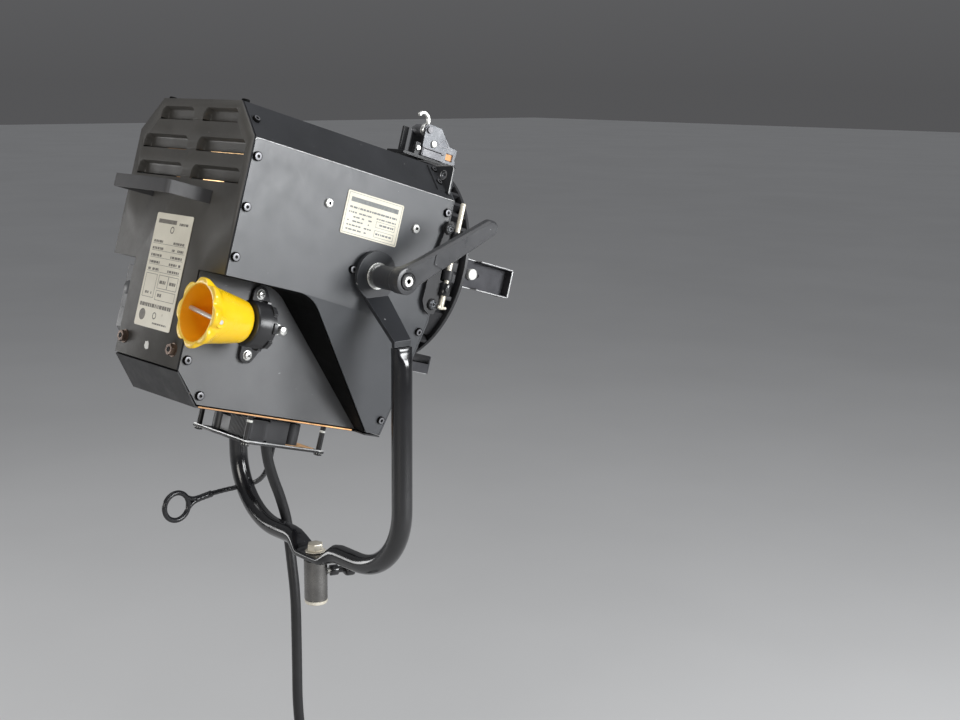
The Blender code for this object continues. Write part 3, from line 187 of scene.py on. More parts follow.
PALE_DUST = (0.34, 0.35, 0.36)
M = {
    "panel": finish("side_coat", (0.052, 0.055, 0.061), (0.042, 0.045, 0.050), (0.36, 0.46), bump=0.20,
        marks=(PALE_DUST, -0.005, 230.0), specular=0.75),
    "recess": finish("recess_coat", (0.110, 0.112, 0.116), (0.085, 0.087, 0.091), (0.36, 0.50), bump=0.22,
        marks=((0.24, 0.24, 0.25), 0.02, 75.0, (1, 1, 2.6)), specular=0.7),
    "rear": finish("rear_coat", (0.078, 0.074, 0.067), (0.060, 0.057, 0.052), (0.40, 0.56), bump=0.25,
        marks=((0.22, 0.21, 0.19), 0.0, 120.0)),
    "top": finish("top_coat", (0.024, 0.025, 0.028), (0.017, 0.018, 0.020), (0.40, 0.56), bump=0.2,
        marks=((0.16, 0.16, 0.16), 0.015, 140.0)),
    "black": finish("black_coat", (0.016, 0.016, 0.018), (0.010, 0.010, 0.011), (0.4, 0.58), bump=0.2),
    # Near black with its reflections turned down: painted shade on the notch linings and on the sides of the
    # dark case screws.
    "notch": finish("notch_painted_shade", (0.003, 0.003, 0.003), (0.002, 0.002, 0.002), (0.5, 0.7), bump=0.2,
        specular=0.08),
    "enamel": finish("yoke_enamel", (0.010, 0.010, 0.012), (0.006, 0.006, 0.007), (0.14, 0.24), grain=260.0,
        bump=0.08, marks=((0.36, 0.36, 0.37), 0.012, 190.0), coat=0.5),
    "plate": finish("yoke_plate_coat", (0.028, 0.030, 0.034), (0.018, 0.019, 0.022), (0.28, 0.42), bump=0.15,
        marks=((0.36, 0.36, 0.37), 0.02, 170.0)),
    "cast": finish("cast_black", (0.030, 0.030, 0.033), (0.018, 0.018, 0.020), (0.40, 0.58), grain=520.0,
        bump=0.35),
    "moulded": finish("moulded_black", (0.040, 0.040, 0.043), (0.029, 0.029, 0.032), (0.34, 0.46),
        grain=700.0, bump=0.25),
    # The rear plate's paint made darker and cooler: painted cool reflection on the handle.
    "handle": finish("handle_painted_cool_reflection", (0.060, 0.059, 0.061), (0.046, 0.046, 0.048), (0.44, 0.56), bump=0.2),
    "lever": finish("lever_black", (0.055, 0.056, 0.060), (0.040, 0.041, 0.044), (0.26, 0.38), grain=700.0,
        bump=0.20, marks=((0.40, 0.40, 0.41), 0.0, 210.0)),
    "satin": finish("satin_black", (0.022, 0.022, 0.024), (0.014, 0.014, 0.015), (0.22, 0.34), grain=1200.0,
        bump=0.10),
    "boss": finish("boss_black", (0.022, 0.022, 0.024), (0.015, 0.015, 0.016), (0.28, 0.36), grain=1200.0,
        bump=0.10),
    "gloss": finish("gloss_black", (0.014, 0.014, 0.015), (0.009, 0.009, 0.010), (0.16, 0.26), grain=600.0,
        bump=0.08, coat=0.3),
    # Near black for screw sockets, cross recesses, post ends and the hinge washers: painted shade.
    "dark": finish("socket_painted_shade", (0.006, 0.006, 0.006), (0.003, 0.003, 0.003), (0.5, 0.7), specular=0.3),
    "zinc": finish("bright_zinc", (0.88, 0.88, 0.86), (0.70, 0.70, 0.67), (0.24, 0.38), metal=0.85,
        cloud=90.0, bump=0.10, marks=((0.38, 0.36, 0.33), 0.04, 420.0)),
    "cream": finish("cream_zinc", (0.90, 0.85, 0.74), (0.76, 0.70, 0.57), (0.26, 0.42), metal=0.55,
        cloud=70.0, bump=0.12, marks=((0.48, 0.41, 0.30), 0.04, 300.0)),
    "hook": finish("hook_ivory", (0.84, 0.84, 0.81), (0.74, 0.74, 0.70), (0.30, 0.42), metal=0.25, cloud=70.0,
        bump=0.10),
    "pin": finish("pin_grey", (0.66, 0.66, 0.64), (0.54, 0.54, 0.52), (0.32, 0.44), metal=0.4, cloud=90.0,
        bump=0.1),
    "bronze": finish("bronze_post", (0.16, 0.11, 0.08), (0.08, 0.055, 0.045), (0.35, 0.5), metal=0.7,
        cloud=80.0, bump=0.15),
    "galvanised": finish("galvanised_sheet", (0.20, 0.205, 0.215), (0.12, 0.125, 0.135), (0.34, 0.5),
        metal=0.8, cloud=55.0, bump=0.18, marks=((0.6, 0.6, 0.6), 0.03, 240.0)),
    # Much darker than the galvanised sheet: painted shade inside the channels; the pale scuffs are wear.
    "channel": finish("channel_painted_shade", (0.060, 0.060, 0.066), (0.036, 0.036, 0.040), (0.34, 0.5), metal=0.6,
        cloud=45.0, bump=0.2, marks=((0.42, 0.42, 0.42), 0.03, 120.0)),
    # Pale steel for thin strips laid along edges: painted highlights; its dark specks are dirt.
    "wear_and_highlight": finish("edge_highlight_steel", (0.62, 0.62, 0.62), (0.42, 0.42, 0.42), (0.34, 0.5), metal=0.7, cloud=120.0,
        bump=0.2, marks=((0.12, 0.12, 0.12), 0.08, 200.0)),
    "turned": finish("turned_steel", (0.24, 0.235, 0.225), (0.16, 0.155, 0.15), (0.20, 0.34), metal=1.0,
        cloud=30.0, grain=500.0, bump=0.10),
    "steel": finish("dark_steel", (0.24, 0.24, 0.25), (0.15, 0.15, 0.16), (0.34, 0.48), metal=0.6,
        cloud=60.0),
    "mirror": finish("polished_aluminium", (0.90, 0.90, 0.91), (0.80, 0.80, 0.82), (0.10, 0.22), metal=1.0,
        cloud=40.0, bump=0.2),
    "ceramic": finish("pale_ceramic", (0.72, 0.70, 0.64), (0.60, 0.57, 0.50), (0.4, 0.6)),
    "yellow": finish("yellow_moulding", (0.93, 0.60, 0.010), (0.88, 0.53, 0.006), (0.20, 0.30), cloud=20.0,
        grain=400.0, bump=0.06, coat=0.2),
    # The cup's own yellow, deepened to orange for its inner wall: painted shade.
    "amber": finish("yellow_inside_painted_shade", (0.96, 0.44, 0.004), (0.90, 0.36, 0.003), (0.34, 0.46), cloud=20.0,
        bump=0.1),
    # The cup's own yellow, paler for the lip: painted highlight.
    "brim": finish("yellow_brim_painted_highlight", (0.96, 0.68, 0.12), (0.90, 0.58, 0.06), (0.24, 0.34), cloud=30.0,
        bump=0.08),
    "ivory": finish("printed_ivory", (0.78, 0.74, 0.62), (0.66, 0.62, 0.51), (0.34, 0.5), cloud=24.0,
        bump=0.08, marks=((0.42, 0.37, 0.28), 0.02, 90.0)),
    "ink": finish("print_ink", (0.20, 0.18, 0.15), (0.12, 0.11, 0.09), (0.45, 0.6), cloud=260.0),
    "grey_ink": finish("print_ink_grey", (0.22, 0.23, 0.22), (0.14, 0.15, 0.15), (0.45, 0.6), cloud=260.0),
    "flake": finish("paint_chip", (0.80, 0.79, 0.75), (0.62, 0.61, 0.58), (0.5, 0.7), cloud=300.0, bump=0.4),
    "rubber": finish("cable_sheath", (0.016, 0.016, 0.017), (0.009, 0.009, 0.010), (0.36, 0.5), cloud=30.0,
        grain=800.0, bump=0.15, marks=((0.12, 0.12, 0.12), 0.03, 120.0)),
    "sleeve": finish("rope_sleeve", (0.018, 0.018, 0.020), (0.010, 0.010, 0.012), (0.20, 0.32), cloud=60.0,
        grain=1200.0, bump=0.15),
    "lens": glass("pressed_glass", (0.93, 0.97, 0.95), 0.03),
    "bulb": glass("lamp_glass", (0.98, 0.97, 0.94), 0.02),
    "filament": glowing("lit_filament", (1.0, 0.62, 0.28), 18.0, 2, -1.0, 0.0),
    "slit": glowing("lit_slit", (1.0, 0.66, 0.34), 3.6, 0, 0.5, -0.5, 0.9),
    "faint": glowing("faint_slit", (1.0, 0.60, 0.30), 0.35, 0, 0.5, -0.5, 0.6),
    "seam": glowing("lit_seam", (1.0, 0.55, 0.24), 1.3, 1, 0.17, -0.02, 0.10),
    "edge": glowing("lit_edge", (0.9, 0.55, 0.28), 0.8, 1, 0.12, -0.03, 0.20),
    "window": glowing("lit_window", (1.0, 0.40, 0.10), 0.4, 2, 0.0, 0.4, 0.8),
}


# ---- mesh functions
def placed(origin, direction):
    """Matrix whose local +Z runs along direction from origin."""
    turn = Vector(direction).normalized().to_track_quat("Z", "Y").to_matrix().to_4x4()
    return Matrix.Translation(origin) @ turn


def prism(bm, outline, axis, low, high, place=None, ink=0):
    """Extrude a 2-D outline along x, y or z."""
    put = {"x": lambda a, b, c: (c, a, b), "y": lambda a, b, c: (a, c, b), "z": lambda a, b,
        c: (a, b, c)}[axis]
    place = place or Matrix()
    ends = [[bm.verts.new(place @ Vector(put(a, b, c))) for a, b in outline] for c in (low, high)]
    faces = [bm.faces.new(ends[0]), bm.faces.new(ends[1])]
    for i in range(len(outline)):
        j = (i + 1) % len(outline)
        faces.append(bm.faces.new((ends[0][i], ends[0][j], ends[1][j], ends[1][i])))
    for face in faces:
        face.material_index = ink


def block(bm, x0, x1, y0, y1, z0, z1, place=None, ink=0):
    prism(bm, [(x0, y0), (x1, y0), (x1, y1), (x0, y1)], "z", z0, z1, place, ink)


def polar(bm, profile, segments, place=None, ink=0, inks=None):
    """Closed solid of rings about local Z; each entry is (radius or radius(angle), height)."""
    place = place or Matrix()
    rings = []
    for radius, height in profile:
        if radius == 0:
            rings.append([bm.verts.new(place @ Vector((0, 0, height)))])
            continue
        ring = []
        for k in range(segments):
            angle = 2 * pi * k / segments
            r = radius(angle) if callable(radius) else radius
            ring.append(bm.verts.new(place @ Vector((r * cos(angle), r * sin(angle), height))))
        rings.append(ring)
    loops = list(zip(rings, rings[1:]))
    if len(rings[0]) > 1:
        loops.append((rings[-1], rings[0]))
    for n, (a, b) in enumerate(loops):
        for k in range(segments):
            m = (k + 1) % segments
            quad = [a[k % len(a)], a[m % len(a)], b[m % len(b)], b[k % len(b)]]
            face = bm.faces.new([v for i, v in enumerate(quad) if v not in quad[:i]])
            face.material_index = inks[n] if inks else ink


def drum(bm, radius, low, high, segments, place=None, ink=0):
    polar(bm, [(0, low), (radius, low), (radius, high), (0, high)], segments, place, ink)


def washer(bm, inner, outer, low, high, segments, place=None, ink=0):
    polar(bm, [(inner, low), (outer, low), (outer, high), (inner, high)], segments, place, ink)


def rod(bm, start, end, radius, segments=24, ink=0, chamfer=0.0):
    start, end = Vector(start), Vector(end)
    n, c = (end - start).length, chamfer
    profile = [(0, 0), (radius - c, 0), (radius, c), (radius, n - c), (radius - c, n), (0, n)] if c else \
        [(0, 0), (radius, 0), (radius, n), (0, n)]
    polar(bm, profile, segments, placed(start, end - start), ink)


def hexagon(radius, y=0.0, z=0.0, turn=0.0):
    return [(y + radius * cos(pi / 3 * k + turn), z + radius * sin(pi / 3 * k + turn)) for k in range(6)]


def arc(cx, cy, radius, start, stop, steps):
    return [(cx + radius * cos(radians(start + (stop - start) * k / steps)),
             cy + radius * sin(radians(start + (stop - start) * k / steps))) for k in range(steps + 1)]


def rounded(x0, x1, y0, y1, r, steps=6):
    """Outline of a rectangle with rounded corners."""
    return (arc(x1 - r, y0 + r, r, -90, 0, steps) + arc(x1 - r, y1 - r, r, 0, 90, steps)
            + arc(x0 + r, y1 - r, r, 90, 180, steps) + arc(x0 + r, y0 + r, r, 180, 270, steps))


def hull(points):
    """Convex outline round a set of 2-D points."""
    points = sorted(set((round(a, 4), round(b, 4)) for a, b in points))

    def half(run):
        out = []
        for p in run:
            while len(out) > 1 and ((out[-1][0] - out[-2][0]) * (p[1] - out[-2][1])
                                    - (out[-1][1] - out[-2][1]) * (p[0] - out[-2][0])) <= 0:
                out.pop()
            out.append(p)
        return out[:-1]

    return half(points) + half(points[::-1])


def ribbon(points, t):
    """Outline of a strip of thickness t along a line of 2-D points."""
    left, right = [], []
    for i, p in enumerate(points):
        a, b = Vector(points[max(i - 1, 0)]), Vector(points[min(i + 1, len(points) - 1)])
        d = (b - a).normalized()
        n = Vector((-d.y, d.x)) * (t / 2)
        left.append((p[0] + n.x, p[1] + n.y))
        right.append((p[0] - n.x, p[1] - n.y))
    return left + right[::-1]


def smooth(points, step):
    """Evenly spaced points on a Catmull-Rom curve through given ones."""
    pts = [Vector(p) for p in points]
    pts = [2 * pts[0] - pts[1]] + pts + [2 * pts[-1] - pts[-2]]
    dense = []
    for p0, p1, p2, p3 in zip(pts, pts[1:], pts[2:], pts[3:]):
        for k in range(40):
            t = k / 40
            dense.append(0.5 * (2 * p1 + (p2 - p0) * t + (2 * p0 - 5 * p1 + 4 * p2 - p3) * t * t
                                + (3 * p1 - p0 - 3 * p2 + p3) * t ** 3))
    dense.append(pts[-2])
    out, run = [dense[0]], 0.0
    for a, b in zip(dense, dense[1:]):
        run += (b - a).length
        if run >= step:
            out.append(b)
            run = 0.0
    if (out[-1] - dense[-1]).length < step * 0.5:
        out.pop()
    return out + [dense[-1]]


def tube(bm, points, radius, sides=16, ink=0, closed=False):
    """Round bar along points; radius is a number or a function of (distance along, angle)."""
    points = [Vector(p) for p in points]
    n = len(points)
    rings, travel, normal = [], 0.0, None
    for i, p in enumerate(points):
        before = points[i - 1] if closed or i else points[0]
        after = points[(i + 1) % n] if closed else points[min(i + 1, n - 1)]
        along = (after - before).normalized()
        if normal is None:
            normal = along.orthogonal().normalized()
        normal = (normal - along * normal.dot(along)).normalized()
        across = along.cross(normal)
        ring = []
        for k in range(sides):
            a = 2 * pi * k / sides
            r = radius(travel, a) if callable(radius) else radius
            ring.append(bm.verts.new(p + r * (cos(a) * normal + sin(a) * across)))
        rings.append(ring)
        travel += (points[(i + 1) % n] - p).length
    faces = []
    pairs = list(zip(rings, rings[1:])) + ([(rings[-1], rings[0])] if closed else [])
    for a, b in pairs:
        for k in range(sides):
            m = (k + 1) % sides
            faces.append(bm.faces.new((a[k], a[m], b[m], b[k])))
    if not closed:
        faces += [bm.faces.new(rings[0][::-1]), bm.faces.new(rings[-1])]
    for face in faces:
        face.material_index = ink


def socket_screw(bm, at, normal, r=4.9, h=3.0, s=1.8, metal=0, dark=1, face=0):
    """Cap head with a flat face and a round socket."""
    profile = [(0, -0.5), (r, -0.5), (r, h * 0.75), (r * 0.90, h * 0.95), (r * 0.80, h), (s, h), (s, h - 1.6),
        (0, h - 1.6)]
    # The socket's wall and floor take the dark ink: painted shade in the socket. The flat top may take its
    # own ink; the dark case screws use it for a painted highlight.
    polar(bm, profile, 28, placed(at, normal), inks=[metal] * 4 + [face] + [dark] * 2)


def cross_screw(bm, at, normal, r=5.0, h=3.0, turn=0.4, metal=0, dark=1):
    """Pan head over a washer; its cross recess is a dark cross standing just proud of the dome: painted
    shade.
    """
    place = placed(at, normal) @ Matrix.Rotation(turn, 4, "Z")
    drum(bm, r + 1.0, -0.4, 0.7, 28, place, metal)
    polar(bm, [(0, 0.6), (r, 0.6), (r, h * 0.6), (r * 0.85, h * 0.88), (r * 0.5, h), (0, h + 0.1)], 24, place,
        metal)
    block(bm, -r * 0.56, r * 0.56, -0.55, 0.55, h - 0.6, h + 0.16, place, dark)
    block(bm, -0.55, 0.55, -r * 0.56, r * 0.56, h - 0.6, h + 0.17, place, dark)


def link(obj):
    bpy.context.scene.collection.objects.link(obj)


def subtract(obj, tools, space):
    for tool_bm in tools:
        bmesh.ops.recalc_face_normals(tool_bm, faces=tool_bm.faces)
        tool_bm.transform(Matrix.Scale(MM, 4) @ space)
        mesh = bpy.data.meshes.new("cutter")
        tool_bm.to_mesh(mesh)
        tool_bm.free()
        tool = bpy.data.objects.new("cutter", mesh)
        link(tool)
        mod = obj.modifiers.new("cut", "BOOLEAN")
        mod.solver, mod.operation, mod.object = "EXACT", "DIFFERENCE", tool
        mod.use_self = True
        bpy.context.view_layer.update()
        obj.data = bpy.data.meshes.new_from_object(obj.evaluated_get(bpy.context.evaluated_depsgraph_get()))
        obj.modifiers.clear()
        bpy.data.objects.remove(tool)


def edges(obj, width, limit, segments=2):
    mod = obj.modifiers.new("edge", "BEVEL")
    mod.width = width * MM
    mod.segments = segments
    mod.limit_method = "ANGLE"
    mod.angle_limit = radians(limit)
    mod.harden_normals = True


def piece(name, bm, body, mats, space=HEAD, bevel=0.0, limit=35, cut=(), stands_for=(), ride=True):
    bmesh.ops.recalc_face_normals(bm, faces=bm.faces)
    bm.transform(Matrix.Scale(MM, 4) @ space)
    mesh = bpy.data.meshes.new(name)
    bm.to_mesh(mesh)
    bm.free()
    obj = bpy.data.objects.new(name, mesh)
    link(obj)
    for mat in mats.split():
        mesh.materials.append(M[mat])
    subtract(obj, cut, space)
    mesh = obj.data
    mesh.polygons.foreach_set("use_smooth", [True] * len(mesh.polygons))
    if bevel:
        edges(obj, bevel, limit)
    else:
        mesh.set_sharp_from_angle(angle=radians(limit))
    if ride:
        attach(obj, body)
    if stands_for:
        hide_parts(*stands_for)
    return obj


def dress(names, mat, bevel=0.4, limit=38):
    """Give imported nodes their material, with joined faces and softened edges."""
    for name in names.split():
        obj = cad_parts[name]
        mesh = obj.data
        for extra in ("custom_normal", "sharp_edge", "sharp_face"):
            if extra in mesh.attributes:
                mesh.attributes.remove(mesh.attributes[extra])
        mesh.materials.clear()
        mesh.materials.append(M[mat])
        mesh.polygons.foreach_set("use_smooth", [True] * len(mesh.polygons))
        weld = obj.modifiers.new("weld", "WELD")
        weld.merge_threshold = 2e-6
        flat = obj.modifiers.new("flat", "DECIMATE")
        flat.decimate_type = "DISSOLVE"
        flat.angle_limit = radians(0.4)
        edges(obj, bevel, limit)


# ---- camera and cords
def camera():
    turn, pitch, roll = radians(47.486), radians(11.578), radians(0.544)
    forward = Vector((sin(turn) * cos(pitch), -cos(turn) * cos(pitch), -sin(pitch)))
    right = Vector((-cos(turn), -sin(turn), 0))
    up = right.cross(forward)
    across, above = right * cos(roll) + up * sin(roll), up * cos(roll) - right * sin(roll)
    data = bpy.data.cameras.new("camera")
    data.lens, data.sensor_width = 50.68, 36.0
    obj = bpy.data.objects.new("camera", data)
    obj.matrix_world = Matrix.Translation((-1.26556, 0.89591, 0.61512)) @ \
        Matrix((across, above, -forward)).transposed().to_4x4()
    link(obj)
    bpy.context.scene.camera = obj


GLAND, ANCHOR = (72.0, -40.0), (80.0, -66.0)
TRAY, GLAND_H, ANCHOR_H = 3.6, 18.0, 9.0
HINGE_X, HINGE_Y = -121.0, -101.0
POST_Y, POST_Z = 76.0, -79.6
CABLE_R, ROPE_R = 6.5, 3.2
COIL_R, COIL_TURNS, COIL_PITCH = 71.5, 3, 13.2
COIL_AT = Vector((75.0, 20.0, -742.0))
PLUG_TOP = -789.5


def head_point(x, y, z):
    """A point of the head, turned into the standing space."""
    return TILT @ Vector((x, y, z))


def mains_cable():
    exit_at = head_point(*GLAND, Z_BOTTOM - TRAY - GLAND_H - GAP)
    route = [exit_at, head_point(GLAND[0], GLAND[1], Z_BOTTOM - 36), (73.5, 18.4, -226), (76.5, 13.4, -248),
        (81, 3.6, -273), (86, -9, -300), (89.5, -20, -332), (87.5, -22.5, -362), (82, -22, -390),
        (77.5, -22, -418), (75.3, -22, -450), (75, -22, -520), (75, -22, -570), (75, -25, -610),
        (75, -33, -655), (75, -40.6, -683), (75, -46.5, -708), (75, -50.6, -727), (75, -51.5, -742)]
    points = smooth(route, 7.0)
    for k in range(1, 48 * COIL_TURNS + 1):
        a = 2 * pi * k / 48
        points.append(COIL_AT + Vector((COIL_PITCH * a / (2 * pi), -COIL_R * cos(a), -COIL_R * sin(a))))
    end = points[-1]
    points += [Vector((end.x, end.y, z)) for z in (-752.0, -764.0, -776.0, PLUG_TOP + 0.5)]
    bm = bmesh.new()
    tube(bm, points, CABLE_R, 20)
    obj = piece("mains_lead", bm, "yoke", "rubber", STAND, limit=60, stands_for=("mains_cable", "cable_coil"),
                ride=False)
    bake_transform(obj)
    mains_plug()


def cable_boot():
    """Tapered sleeve where the lead leaves its gland."""
    top = Z_BOTTOM - TRAY - GLAND_H - GAP
    profile = [(6.6, 0), (9.6, 0), (9.8, -1.2)]
    for k in range(5):
        low = -2.4 - 4.0 * k
        r = 9.5 - 0.5 * k
        profile += [(r, low), (r, low - 2.2), (r - 0.9, low - 2.6), (r - 0.9, low - 3.6)]
    profile += [(7.2, -22.6), (6.8, -23.4), (6.6, -23.4)]
    bm = bmesh.new()
    polar(bm, profile, 40, Matrix.Translation((GLAND[0], GLAND[1], top)))
    piece("lead_boot", bm, "head", "rubber", limit=50)


def mains_plug():
    place = placed((COIL_AT.x + COIL_TURNS * COIL_PITCH, COIL_AT.y - COIL_R, PLUG_TOP), (0, 0, -1))
    bm = bmesh.new()

    def gripped(radius):
        return lambda a: radius - 0.9 * (cos(14 * a) > 0.35)

    sleeve = []
    for k in range(6):
        low = 1.0 + 3.6 * k
        sleeve += [(8.2 + 0.25 * k, low), (8.2 + 0.25 * k, low + 2.2), (7.3 + 0.25 * k, low + 2.4),
                   (7.3 + 0.25 * k, low + 3.4)]
    profile = [(0, 0), (7.6, 0)] + sleeve + [(10.2, 23), (16.5, 29), (18.6, 33), (gripped(18.9), 34.5),
        (gripped(18.9), 58), (18.6, 59.5), (18.2, 64.5), (17.0, 65.6), (0, 65.6)]
    polar(bm, profile, 84, place)
    return piece("lead_plug", bm, "yoke", "moulded", STAND, stands_for=("mains_plug",))


def safety_rope():
    start = head_point(*ANCHOR, Z_BOTTOM - TRAY - ANCHOR_H - 1.2)
    route = [start, head_point(ANCHOR[0] + 2.5, ANCHOR[1] + 1, Z_BOTTOM - 28), (93, -6, -233),
        (110, -11, -258), (132, -18.5, -280), (154, -23, -296), (172, -20.5, -305.5), (184, -9, -310),
        (188, 7, -311.5), (186, 27, -311.5)]
    points = smooth(route, 1.6)
    bm = bmesh.new()
    tube(bm, points, lambda run, a: ROPE_R * (0.84 + 0.16 * abs(cos(1.5 * a - run * 0.42)) ** 0.7), 30)
    obj = piece("tether", bm, "yoke", "sleeve", STAND, limit=70, stands_for=("safety_rope",),
        ride=False)
    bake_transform(obj)
    eye = rope_end(points[-1])


def rope_end(end):
    """Pressed sleeve, and the rope's eye."""
    along = Vector((-0.06, 1.0, -0.11)).normalized()
    across = Vector((1, 0, 0))
    across = (across - along * across.dot(along)).normalized()
    side = across.cross(along).normalized()
    bm = bmesh.new()
    place = placed(end, along)
    profile = [(0, 0.8), (3.6, 0.8), (4.3, 1.6), (4.4, 3.0), (4.1, 8.0), (4.4, 8.6), (4.1, 9.2), (4.1, 14.0),
               (4.4, 14.6), (4.1, 15.2), (4.1, 20.0), (4.4, 21.0), (4.1, 25.5), (3.4, 27.0), (0, 27.0)]
    polar(bm, profile, 40, place, 0)
    eye = end + along * (27 + 27)
    ring = [eye + (along * cos(radians(a)) + side * sin(radians(a))) * 17.5 for a in range(0, 360, 5)]
    tube(bm, ring, 3.3, 28, closed=True)
    for s in (-1, 1):
        leg = [end + along * 23 + side * (1.2 * s), end + along * 30 + side * (2.6 * s),
               eye - along * 17.2 + side * (6.6 * s), eye - along * 12.0 + side * (12.6 * s)]
        tube(bm, smooth(leg, 1.5), 3.1, 24)
    return piece("tether_eye", bm, "yoke", "sleeve", STAND, limit=60, stands_for=("rope_eye",))


camera()
mains_cable()
cable_boot()
safety_rope()


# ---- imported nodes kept
def keep_nodes():
    for mat, names in (("panel", "side_panel_near side_panel_far front_frame"),
            ("recess", "recess_panel_near recess_panel_far junction_box"), ("top", "top_wrap"),
            ("black", "bottom_tray vent_plate hinge_bracket tilt_boss_far"),
            ("notch", "notch_lining_near notch_lining_far"), ("plate", "yoke_plate_near yoke_plate_far"),
            ("boss", "tilt_boss_near"), ("satin", "catch_base"), ("cast", "carriage"),
            ("zinc", "tilt_washer far_pivot_nut safety_anchor"), ("steel", "catch_pin"),
            ("galvanised",
            "catch_bracket lens_clip_ring guide_rod_near guide_rod_far lead_screw cross_shaft"),
            ("channel", "channel_near channel_far channel_bottom"),
            ("moulded", "vent_finned_block vent_terminal_box vent_capacitor cable_gland"),
            ("ivory", "rating_plate makers_plate"), ("bulb", "lamp"), ("mirror", "reflector"),
            ("ceramic", "lampholder")):
        dress(names, mat, 0.5)
    dress("rear_handle", "handle", 0.4, 16)


keep_nodes()


# ---- rear panel
LOUVRES = [(77.0, 132.0, 117.4), (101.5, 101.0, 85.6), (102.5, 71.3, 55.8)]
SLIT, PRESSED = 2.0, 8.8
CORNER = 8.0


def louvre_depth(along, up, wide, high):
    """How far in the sheet is pressed at a spot; the deep edge runs along the slit at the bottom."""
    side, top = min(along, wide - along) - 1.2 * up / high, high - up
    inside = min(side, top)
    if side < CORNER and top < CORNER:
        inside = CORNER - ((CORNER - side) ** 2 + (CORNER - top) ** 2) ** 0.5
    step = max(0.0, min(1.0, inside / 2.6))
    return PRESSED * (0.80 + 0.20 * (high - up) / high) * (1 - (1 - step) ** 1.6)


def rear_panel():
    outline = [(-W_TOP, Z_TOP), (W_TOP, Z_TOP), (W_MAX, Z_SHOULDER), (W_MAX, Z_NOTCH), (W_REAR, Z_NOTCH),
        (W_REAR, -140.5), (-W_REAR, -140.5), (-W_REAR, Z_NOTCH), (-W_MAX, Z_NOTCH), (-W_MAX, Z_SHOULDER)]
    flat = [Vector(p) for p in outline]
    rings = [list(range(len(outline)))]
    grids, holes = [], []
    across, tall = 90, 18
    for wide, top, low in LOUVRES:
        for side in (-1, 1):
            a, b = sorted((side * 9.5, side * wide))
            holes.append((a, b, low, top))
            grid = [[(a + (b - a) * i / across, low + SLIT + (top - low - SLIT) * j / tall)
                     for i in range(across + 1)] for j in range(tall + 1)]
            grids.append((a, b, low, top, grid))
            border = [(a, low)] + [row[0] for row in grid] + grid[-1][1:] + [r[-1]
                for r in grid[-2::-1]] + [(b, low)]
            rings.append(list(range(len(flat), len(flat) + len(border))))
            flat += [Vector(p) for p in border]
    lines = [(ring[i - 1], ring[i]) for ring in rings for i in range(len(ring))]
    spots, _, faces, *_ = delaunay_2d_cdt(flat, lines, [], 0, 1e-6)
    bm = bmesh.new()
    verts = {}

    def at(x, z, depth=0.0):
        key = (round(x, 3), round(z, 3)) if depth < 1e-4 else None
        if key is None:
            return bm.verts.new((x, Y_REAR - depth, z))
        if key not in verts:
            verts[key] = bm.verts.new((x, Y_REAR, z))
        return verts[key]

    for face in faces:
        cx = sum(spots[i].x for i in face) / 3
        cz = sum(spots[i].y for i in face) / 3
        notched = cz < Z_NOTCH and abs(cx) > W_REAR
        chamfer = cz > Z_SHOULDER and abs(cx) > W_MAX - (W_MAX - W_TOP) * (cz - Z_SHOULDER) / (Z_TOP
            - Z_SHOULDER)
        if notched or chamfer or any(a < cx < b and low < cz < top for a, b, low, top in holes):
            continue
        bm.faces.new([at(spots[i].x, spots[i].y) for i in face])
    for a, b, low, top, grid in grids:
        rows = [[at(x, z, louvre_depth(x - a, z - low - SLIT, b - a, top - low - SLIT)) for x, z in row]
                for row in grid]
        for under, over in zip(rows, rows[1:]):
            for i in range(across):
                quad = [under[i], under[i + 1], over[i + 1], over[i]]
                bm.faces.new(quad)
    bmesh.ops.recalc_face_normals(bm, faces=bm.faces)
    if sum(f.normal.y for f in bm.faces) < 0:
        bmesh.ops.reverse_faces(bm, faces=bm.faces)
    bm.transform(Matrix.Scale(MM, 4) @ HEAD)
    mesh = bpy.data.meshes.new("rear_panel")
    bm.to_mesh(mesh)
    bm.free()
    mesh.materials.append(M["rear"])
    # The second material is the black paint, put on the sheet's cut edges round the outline and the slits:
    # painted shade on the rims.
    mesh.materials.append(M["black"])
    obj = bpy.data.objects.new("rear_panel", mesh)
    link(obj)
    mod = obj.modifiers.new("sheet", "SOLIDIFY")
    mod.thickness, mod.offset, mod.material_offset_rim = 1.4 * MM, -1, 1
    mesh.polygons.foreach_set("use_smooth", [True] * len(mesh.polygons))
    mesh.set_sharp_from_angle(angle=radians(24))
    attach(obj, "head")
    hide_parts("rear_plate")


def lit_slits():
    """Light seen in the slits, as fractions of each slit's width."""
    bright, faint = bmesh.new(), bmesh.new()
    parts = {(0, -1): (0.22, 0.95), (1, -1): (0.12, 0.86), (2, -1): (0.08, 0.50),
             (0, 1): (0.3, 0.9), (1, 1): (0.35, 1.0), (2, 1): (0.7, 1.0)}
    for row, (wide, _, low) in enumerate(LOUVRES):
        for side in (-1, 1):
            inner, outer = (-9.5, -wide) if side < 0 else (wide, 9.5)
            ends = sorted(inner + (outer - inner) * t for t in parts[row, side])
            block(bright if side < 0 else faint, *ends, Y_REAR - 12.6, Y_REAR - 11.8, low - 1.5, low + 3.0)
    piece("lit_slits", bright, "head", "slit")
    piece("faint_slits", faint, "head", "faint")


